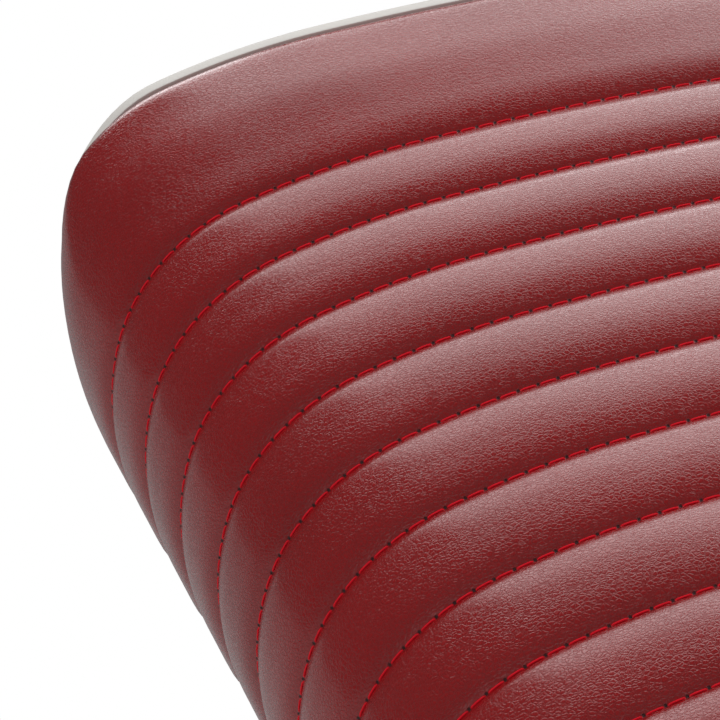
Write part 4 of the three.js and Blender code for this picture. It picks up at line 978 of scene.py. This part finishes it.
# %% Hoops and softened copies
def hoop(name, radius, width, height, bend, place, sides=32):
    """A round tube that rises, bends over, runs across X and comes down again."""
    made = fresh(bpy.ops.mesh.primitive_circle_add, vertices=sides, radius=radius * MM)
    made.name = name
    edit_all()
    bpy.ops.transform.translate(value=(-width / 2 * MM, 0, 0))
    straight, across = (height - bend) * MM, (width - 2 * bend) * MM

    def run(x, z):
        bpy.ops.mesh.extrude_edges_move(TRANSFORM_OT_translate={"value": (x, 0, z)})

    def turn(middle):
        centre = (middle * MM, 0, straight)
        quarter = -math.pi / 2
        bpy.ops.mesh.spin(steps=12, angle=quarter, center=centre, axis=(0, 1, 0))

    run(0, straight)
    turn(bend - width / 2)
    run(across, 0)
    turn(width / 2 - bend)
    run(0, -straight)
    close_up(made, place)
    smooth(made, 40)
    return made


def footed_hoop(name, radius, width, height, bend, foot, place):
    """A hoop with a turned ring round each of its feet."""
    rings = []
    tube = hoop(name, radius, width, height, bend, place)
    for x in (-width / 2, width / 2):
        at_foot = place @ Matrix.Translation((x * MM, 0, 0))
        rings.append(turned("foot_ring", foot, 32, place=at_foot))
    return joined(tube, *rings)


def softened(node, width, segments=2, closest=0.002):
    """A copy of a CAD node with merged corners and rounded edges.

    Corners nearer than closest become one, because a Bevel is no wider than the shortest edge
    that it meets.
    """
    copy = nodes[node].copy()
    copy.data = nodes[node].data.copy()
    copy.name = f"{node}_finished"
    copy.parent = None
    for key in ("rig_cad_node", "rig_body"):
        del copy[key]
    bpy.context.scene.collection.objects.link(copy)
    only(copy)
    edit_all()
    bpy.ops.mesh.remove_doubles(threshold=closest * MM)
    bpy.ops.mesh.dissolve_limited(angle_limit=math.radians(0.5))
    bpy.ops.object.mode_set(mode="OBJECT")
    bevel(copy, width, segments)
    smooth(copy, 35)
    return copy


def soften(slot, width, segments, *names, closest=0.002, materials=None):
    """Lets softened copies stand for CAD nodes."""
    for node in names:
        copy = softened(node, width, segments, closest)
        fit(copy, slot, node, material=(materials or {}).get(node))


print("hoop and copy tools ready")

# %% Screws and bolts
SOCKET_SCREW = [(6, 0), (6, 1.2), (5.4, 2.3), (4.2, 3.0), (2.6, 3.2), (2.5, 1.4)]
HEX_BOLT = [(8.6, 0), (8.6, 4.2), (7.6, 5.2)]


def fasteners(name, outline, places, sides):
    """Several equal screws or bolts as one object. Each place is a matrix, its Z outwards."""
    return joined(*[turned(name, outline, sides, solid=True, place=place) for place in places])


print("fasteners ready")

# %% [markdown]
# ## The back's casing
# A light grey moulded casing closes the back. Its top is a lid 5.5 mm thick, whose rim shows
# as the pale strip over the leather. Its rear is a shallow tray with rounded corners.

# %% Lid and tray
LID_LOW_U, LID_HIGH_U = 594.3 * MM, 599.8 * MM
TRAY_HALF_WIDTH, TRAY_FOOT_U, TRAY_CORNER = 225 * MM, 36 * MM, 34 * MM
TRAY_FRONT_N, TRAY_REAR_N = -117.3 * MM, -155.3 * MM
TRAY_WALL, TRAY_EDGE = 4 * MM, 8 * MM
STEM_N = -139.1 * MM
STEM_SLOT = (42 * MM, 60 * MM, 10 * MM)


def cut_out(obj, middle, size):
    """Cuts a box out of a piece."""
    box = fresh(bpy.ops.mesh.primitive_cube_add, size=1)
    box.data.transform(Matrix.Translation(middle) @ Matrix.Diagonal((*size, 1)))
    modify(obj, "BOOLEAN", object=box, solver="EXACT")
    bpy.data.objects.remove(box)


def make_lid():
    lean = back_pad.lean
    proud = 1.5 - 6.6 * ease((lean - 23) / 42) - 18 * ease((lean - 56) / 36)
    loops = []
    for u, inset in ((0, 0.7), (0.2, 0.2), (0.7, 0), (4.8, 0), (5.3, 0.2), (5.5, 0.7)):
        x, n = back_pad.outline(back_pad.length, (proud - inset) * MM)
        loops.append(np.column_stack([x, n + BACK_FRONT_N, np.full(len(x), LID_LOW_U + u * MM)]))
    lid = loft("back_casing", np.array(loops), (0, 0))
    lid.data.transform(BACK)
    face_outwards(lid)
    smooth(lid, 40)
    return lid


def make_tray():
    """A flat sheet, its corners rounded, pushed down into a tray, and given its wall."""
    tray = fresh(bpy.ops.mesh.primitive_plane_add, size=1)
    height = LID_HIGH_U - TRAY_FOOT_U
    edit_all()
    size = (2 * TRAY_HALF_WIDTH, height, 1)
    bpy.ops.transform.resize(value=size, center_override=(0, 0, 0))
    middle = (0, TRAY_FOOT_U + height / 2, TRAY_FRONT_N)
    bpy.ops.transform.translate(value=middle)
    bpy.ops.mesh.bevel(offset=TRAY_CORNER, segments=12, affect="VERTICES")
    bpy.ops.mesh.select_all(action="SELECT")
    down = (0, 0, TRAY_REAR_N - TRAY_FRONT_N)
    bpy.ops.mesh.extrude_region_move(TRANSFORM_OT_translate={"value": down})
    bpy.ops.mesh.region_to_loop()
    bpy.ops.mesh.bevel(offset=TRAY_EDGE, segments=6, affect="EDGES")
    bpy.ops.object.mode_set(mode="OBJECT")
    mesh = bmesh.new()
    mesh.from_mesh(tray.data)
    front = [f for f in mesh.faces if all(v.co.z > TRAY_FRONT_N - 1e-5 for v in f.verts)]
    bmesh.ops.delete(mesh, geom=front, context="FACES")
    mesh.to_mesh(tray.data)
    mesh.free()
    face_outwards(tray)
    modify(tray, "SOLIDIFY", thickness=TRAY_WALL, offset=-1)
    cut_out(tray, (0, LID_HIGH_U, STEM_N), STEM_SLOT)
    swap = Matrix(((1, 0, 0, 0), (0, 0, 1, 0), (0, 1, 0, 0), (0, 0, 0, 1)))
    tray.data.transform(BACK @ swap)
    face_outwards(tray)
    smooth(tray, 40)
    return tray


casing = joined(make_lid(), make_tray())
casing.name = "back_casing"
fit(casing, "shell", "back_shell")
print("casing", len(casing.data.polygons), "faces")

# %% [markdown]
# ## Base and pump
# The foot of the chair is a steel disc under a polished bell of thin metal, with a rubber
# ring round its rim. The pump stands in its middle, inside a chromed sleeve. All of them are
# turned on a lathe, and so are these.

# %% Base
BELL_FOOT, BELL_NECK = (310.4, 15.3), (77.3, 61.3)  # radius and height of its outside
BELL_WALL, BELL_CURVE = 3, 1.8


def bell(steps=20):
    """The base cover's outline: up its outside, and down its inside."""
    outside, inside = [], []
    for step in range(steps + 1):
        share = step / steps
        radius = BELL_FOOT[0] + (BELL_NECK[0] - BELL_FOOT[0]) * share
        fall = (BELL_NECK[1] - BELL_FOOT[1]) * (1 - share) ** BELL_CURVE
        height = BELL_NECK[1] - fall
        outside.append((radius, height))
        inside.insert(0, (radius - BELL_WALL * (1 - share), height - BELL_WALL))
    return outside + inside


fit(turned("base_bell", bell(), 128), "chrome", "base_cover")
rim = [(311, 0), (321.5, 0), (324, 1.2), (325, 4), (325, 13), (323.6, 16.4), (320.5, 18), (311, 18)]
fit(turned("base_rim", rim, 128), "rubber", "base_trim_ring")
disc = [(310.4, 0), (310.4, 12)]
fit(turned("base_disc", disc, 96, solid=True, soft=1), "steel", "base_plate")
print("base made")

# %% Pump column
sleeve = [(71, 58.6), (74, 58.6), (74, 253), (73.2, 256.5), (71, 259.6), (66, 262),
          (58.6, 262), (58.6, 259), (65, 259), (69, 256.6), (71, 253)]
sleeve_piece = turned("column_sleeve", sleeve, 96)
PUMP_BLOCK_WAY = (120 * MM, 64.6 * MM, 114 * MM)  # where the pump block passes the sleeve
cut_out(sleeve_piece, (74 * MM, 0, 57 * MM), PUMP_BLOCK_WAY)
smooth(sleeve_piece, 40)
fit(sleeve_piece, "chrome", "pump_sleeve")

housing = [(58, 12.3), (58, 270), (46, 270), (46, 40)]
fit(turned("pump_body", housing, 72, solid=True, soft=1), "steel", "pump_housing")
wiper = [(42.5, 270.3), (58, 270.3), (58, 277), (56.8, 280.6), (53, 283.4), (48, 284.3), (44, 284),
         (42.5, 282.4)]
fit(turned("column_wiper", wiper, 96), "rubber", "wiper_ring")
fit(round_bar("lift_ram", "Z", 96, 1), "chrome", "lift_ram")
hub = [(42.5, 312.5), (56, 312.5), (58.5, 315), (58.5, 336), (60, 341), (64, 345), (78.5, 349.6),
       (78.5, 352.5), (42.5, 352.5)]
fit(turned("swivel_socket", hub, 96), "steel", "swivel_hub")
print("pump column made")

# %% Foot pump
soften("steel", 2, 3, "pump_block")
soften("chrome", 2, 3, "pump_lever")
fit(round_bar("pump_lever_pin", "Y"), "chrome", "pump_lever_pin")
fit(round_bar("pump_plunger", "Z"), "chrome", "pump_plunger")
pedal = Pad("pedal_grip", crowned(0.0294, 0.26, 0.008), 12 * MM, 96 * MM,
            [16 * MM * (i + 1) for i in range(5)], 1.6 * MM, (4 * MM, 4 * MM),
            flank=0.8, domes=(0, 0))
TO_THE_SIDE = Matrix.Rotation(-math.pi / 2, 4, "Z")
ON_PEDAL = TO_THE_SIDE @ SEAT @ Matrix.Translation((0, 134.3 * MM, 258 * MM))
fit(sew_pad(pedal, ON_PEDAL, pressure=0), "rubber", "pedal_pad")
print("foot pump made")

# %% [markdown]
# ## Seat frame and linkage
# Under the seat are flat bars, tubes and plates. Their outlines are right already, so these
# are softened copies, with screws, nuts and end caps added.

# %% A side cover
def side_cover(side):
    """A moulded plate: a sheet with its upper corners rounded, pushed out and let in a little."""
    low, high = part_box(f"side_cover_{side}")
    size = high - low
    cover = fresh(bpy.ops.mesh.primitive_plane_add, size=1)
    cover.name = f"side_cover_{side}_moulding"
    cover.data.transform(Matrix.Diagonal((size.y, size.z, 1, 1)))
    for vertex in cover.data.vertices:
        vertex.select = vertex.co.y > 0
    bpy.ops.object.mode_set(mode="EDIT")
    bpy.ops.mesh.bevel(offset=30 * MM, segments=10, affect="VERTICES")
    bpy.ops.mesh.select_all(action="SELECT")
    bpy.ops.mesh.extrude_region_move(TRANSFORM_OT_translate={"value": (0, 0, size.x)})
    bpy.ops.mesh.inset(thickness=9 * MM, depth=-1.2 * MM)
    bpy.ops.object.mode_set(mode="OBJECT")
    outwards = 1 if side == "right" else -1
    inner = low.x if side == "right" else high.x
    turn = Matrix(((0, 0, outwards, inner), (1, 0, 0, (low.y + high.y) / 2),
                   (0, 1, 0, (low.z + high.z) / 2), (0, 0, 0, 1)))
    cover.data.transform(turn)
    face_outwards(cover)
    bevel(cover, 0.9, 3)
    smooth(cover, 35)
    return cover


# %% Frame plates
soften("steel", 1.6, 3, "top_plate", "cross_tube_front", "cross_tube_rear", "seat_rail_left",
       "seat_rail_right", "cylinder_cradle", "headrest_socket")
soften("steel", 1, 2, "back_hinge_bracket_left", "back_hinge_bracket_right",
       "leg_hinge_bracket_left", "leg_hinge_bracket_right")
soften("steel", 1, 2, "back_bracket_left", "back_bracket_right", "leg_bracket_left",
       "leg_bracket_right", closest=0.25)
soften("steel", 1, 2, "link_bar")
soften("plywood", 0.6, 2, "seat_pan", "back_board", "leg_board", materials=PLYWOODS)
for side, _ in SIDES:
    fit(side_cover(side), "shell", f"side_cover_{side}")
soften("shell", 1.4, 3, "headrest_shell")
print("plates softened")

# %% Pins, levers and rods
for node in ("recline_axle", "leg_axle", "recline_lever_pin", "back_crossbar", "leg_crossbar",
             "foot_pin", "headrest_pin"):
    fit(round_bar(node, "X"), "chrome", node)
soften("chrome", 2.5, 4, "recline_lever")
soften("chrome", 0.4, 2, "recline_rod")
soften("steel", 1.2, 3, "recline_cylinder")
soften("chrome", 1.6, 3, "headrest_stem")
soften("chrome", 1.8, 3, "foot_plate")
tread = Pad("foot_tread_grip", crowned(0.132, 20.0, 0.0024), 4.6 * MM, 136 * MM,
            [13 * MM + 11 * MM * i for i in range(11)], 1.0 * MM, (2 * MM, 2 * MM),
            flank=0.3, domes=(0, 0))
FACING_FOOT = Matrix(((1, 0, 0, 0), (0, 0, 1, 60 * MM), (0, 1, 0, -292 * MM), (0, 0, 0, 1)))
fit(sew_pad(tread, LEG @ FACING_FOOT, pressure=0), "rubber", "foot_tread")
print("pins and levers made")

# %% Arm frames and the rear handle
ARM_MIDDLE_Y, ARM_FOOT_Z = -14 * MM, 361.1 * MM
TURN_TO_Y = Matrix.Rotation(math.pi / 2, 4, "Z")
FLANGE = [(14.4, 0), (21, 0), (21, 2.4), (19.6, 4), (16.4, 5), (15.2, 8), (14.4, 8)]
for side, sign in SIDES:
    place = Matrix.Translation((sign * ARM_X, ARM_MIDDLE_Y, ARM_FOOT_Z)) @ TURN_TO_Y
    arm = footed_hoop(f"arm_tube_{side}", 14, 328, 260.6, 60, FLANGE, place)
    fit(arm, "chrome", f"arm_frame_{side}")

CASING_REAR_N = -155.6 * MM
HANDLE_U, KNOB_U = 444, 537  # up the back, in mm
CUFF = [(9.3, 0), (15, 0), (15, 2), (13, 3.6), (9.3, 4.2)]


def behind_casing(u):
    """The matrix that stands a piece on the casing's rear, u mm up, with its Z outwards."""
    return BACK @ Matrix(((1, 0, 0, 0), (0, 0, -1, CASING_REAR_N), (0, 1, 0, u * MM), (0, 0, 0, 1)))


handle = footed_hoop("back_handle", 9, 190, 46, 24, CUFF, behind_casing(HANDLE_U))
fit(handle, "chrome", "rear_handle")
print("hoops made")

# %% The head rest's knob
KNOB_LOBES, KNOB_DEPTH, KNOB_GRIP = 9, 0.07, 19 * MM
knob_outline = [(4, -14), (4, 0), (20, 0), (23, 1.5), (24, 5), (24, 17), (22.6, 20.4), (19, 22),
                (9, 22), (8, 21)]
knob = turned("lock_knob", knob_outline, 108, solid=True)
for vertex in knob.data.vertices:
    reach = math.hypot(vertex.co.x, vertex.co.y)
    if reach > KNOB_GRIP:
        turn = math.atan2(vertex.co.y, vertex.co.x)
        share = 1 - KNOB_DEPTH * (0.5 - 0.5 * math.cos(KNOB_LOBES * turn))
        vertex.co.x *= share
        vertex.co.y *= share
knob.data.transform(behind_casing(KNOB_U))
face_outwards(knob)
smooth(knob, 40)
fit(knob, "plastic", "headrest_knob")
print("knob made")

# %% Screws, bolts and plugs
AXLE_NUT = [(13, 0), (13, 3.6), (11.6, 4.6), (8.2, 4.6)]
PLUG_X, PLUG_Z = 300.6 * MM, 350.8 * MM
PLUG_SIZE = (3 * MM, 29 * MM, 19 * MM)
SIDE_FASTENERS = (  # name, outline, sides, x, and places in (y, z)
    ("cover_screws", SOCKET_SCREW, 24, 256.6, [(-244, 380), (-244, 438), (104, 380), (104, 438)]),
    ("rail_bolts", HEX_BOLT, 6, 216.1, [(152, 379), (190, 379), (-205, 379), (-248, 379)]),
    ("axle_nuts", AXLE_NUT, 6, 216.1, [(215, 475.03), (-335, 467.66)]),
)


def tube_plug(sign, y):
    """A plug that closes a square tube's end."""
    plug = fresh(bpy.ops.mesh.primitive_cube_add, size=1)
    middle = Matrix.Translation((sign * PLUG_X, y, PLUG_Z))
    plug.data.transform(middle @ Matrix.Diagonal((*PLUG_SIZE, 1)))
    bevel(plug, 1.2, 3)
    smooth(plug, 40)
    return plug


def on_side(sign, x, places):
    """The matrices that stand fasteners on one side of the chair, each with its Z outwards."""
    out = lying("X", (0, 0, 0))
    if sign < 0:
        out = out @ Matrix.Rotation(math.pi, 4, "X")
    return [Matrix.Translation(Vector((sign * x, y, z)) * MM) @ out for y, z in places]


for side, sign in SIDES:
    for name, outline, sides, x, places in SIDE_FASTENERS:
        made = fasteners(f"{name}_{side}", outline, on_side(sign, x, places), sides)
        fit(made, "chrome", body="seat")
    plugs = [tube_plug(sign, y * MM) for y in (-178, 150)]
    plugs[0].name = f"tube_plugs_{side}"
    fit(joined(*plugs), "plastic", body="seat")
casing_screws = [behind_casing(KNOB_U) @ Matrix.Translation((x * MM, (u - KNOB_U) * MM, 0))
                 for x in (-188, 188) for u in (72, 562)]
fit(fasteners("casing_screws", SOCKET_SCREW, casing_screws, 24), "chrome", body="back")
print("fasteners placed")

# %% What stays as the CAD made it
for name, node in nodes.items():
    if not node.hide_render:
        node.data.materials.clear()
        node.data.materials.append(PLASTIC)
        print(name, "keeps its CAD mesh")

# %% [markdown]
# ## Stage, light and camera
# A pale floor and a white surround, as in the photograph. The leather's sheen is the
# reflection of a bright panel behind the chair on its right. The panel is painted on the
# world, and only mirror rays see it. One softbox above and behind adds a weak light. The
# camera stands in front on the left and looks down by 15 degrees.

# %% Camera
camera_data = bpy.data.cameras.new("camera")
camera = bpy.data.objects.new("camera", camera_data)
bpy.context.scene.collection.objects.link(camera)
camera_data.sensor_width = 36
camera_data.lens = 164
camera_data.clip_end = 60
camera.location = (-0.54928, -0.52446, 0.93446)
CAMERA_HEADING = math.radians(-17.975)
CAMERA_PITCH = math.radians(-14.974)
CAMERA_ROLL = math.radians(-5.650)
aim = Matrix.Rotation(CAMERA_HEADING, 4, "Z") @ Matrix.Rotation(math.pi / 2 + CAMERA_PITCH, 4, "X")
camera.rotation_euler = (aim @ Matrix.Rotation(CAMERA_ROLL, 4, "Z")).to_euler()
bpy.context.scene.camera = camera
print("camera", tuple(camera.location))

# %% World
world = bpy.data.worlds.new("studio")
bpy.context.scene.world = world
bench = Bench(world)
WHITE = (1, 1, 1, 1)
PLAIN_LEVEL = 0.7  # what lights the chair, apart from reflections
PANEL_HIGH, PANEL_LOW, FRONT_GLOW = 1.3, 3.6, 0.7


def lit_from(direction, low, high):
    """0 away from a direction and 1 towards it, between two cosines."""
    look = bench.node("ShaderNodeTexCoord", output="Generated")
    towards = Vector(direction).normalized()
    cosine = bench.vectors("DOT_PRODUCT", look, towards, output="Value")
    return cosine.step_between(low, high)


seen, passed, mirrored = (bench.ray(kind) for kind in ("Camera", "Transmission", "Glossy"))
low_down = 1 - lit_from((0, 0, 1), 0.30, 0.62)
behind = lit_from((1, 0, 0), -0.22, 0.0) * lit_from((0, 1, 0), 0, 0.4)
behind = behind * lit_from((0, 0, 1), 0.14, 0.36)
panel = PANEL_HIGH * (1 - lit_from((0, 0, 1), 0.77, 0.94))
panel = panel + PANEL_LOW * (1 - lit_from((0, 0, 1), 0.2, 0.55))
front = FRONT_GLOW * low_down * lit_from((0.4, -0.92, 0), -0.1, 0.7)
reflected = 0.04 + panel * behind + front
level = PLAIN_LEVEL + mirrored * (reflected - PLAIN_LEVEL)
level = level + (seen + passed).at_most(1.0) * (1.0 - level)
background = bench.node("ShaderNodeBackground", None, {"Color": WHITE, "Strength": level})
bench.node("ShaderNodeOutputWorld", None, {"Surface": background})
print("world set")


# %% Lights
def softbox(name, place, target, size, watts):
    data = bpy.data.lights.new(name, "AREA")
    data.shape = "RECTANGLE"
    data.size, data.size_y = size
    data.energy = watts
    lamp = bpy.data.objects.new(name, data)
    bpy.context.scene.collection.objects.link(lamp)
    lamp.location = place
    lamp.rotation_euler = (Vector(place) - Vector(target)).to_track_quat("Z", "Y").to_euler()
    lamp.visible_camera = lamp.visible_glossy = False


MIDDLE_OF_BACK = (0.0, 0.5, 0.6)
softbox("key_softbox", (0.1, 1.9, 2.3), MIDDLE_OF_BACK, (2.0, 1.7), 28)
bpy.context.scene.view_settings.view_transform = "Standard"
print("lights set")

# %% Floor
FLOOR_PAINT, FLOOR_IN_MIRRORS = (0.76, 0.76, 0.75, 1), (0.31, 0.31, 0.31, 1)
floor = fresh(bpy.ops.mesh.primitive_plane_add, size=24, location=(0, 0, -0.5 * MM))
floor.name = "studio_floor"
floor_paint, bench = new_bench("floor_paint")
away = bench.vectors("LENGTH", bench.place(), output="Value")
far = away.step_between(1.0, 1.7)
mirrored_far = away.step_between(0.5, 1.1) * bench.ray("Glossy")
paint = bench.mix(mirrored_far, FLOOR_PAINT, FLOOR_IN_MIRRORS)
matte = bench.node("ShaderNodeBsdfDiffuse", None, {"Color": paint})
glow = bench.node("ShaderNodeEmission", None, {"Color": WHITE, "Strength": 1.0})
mixed = bench.node("ShaderNodeMixShader", None, {0: far * bench.ray("Camera"), 1: matte, 2: glow})
bench.node("ShaderNodeOutputMaterial", None, {"Surface": mixed})
floor.data.materials.append(floor_paint)
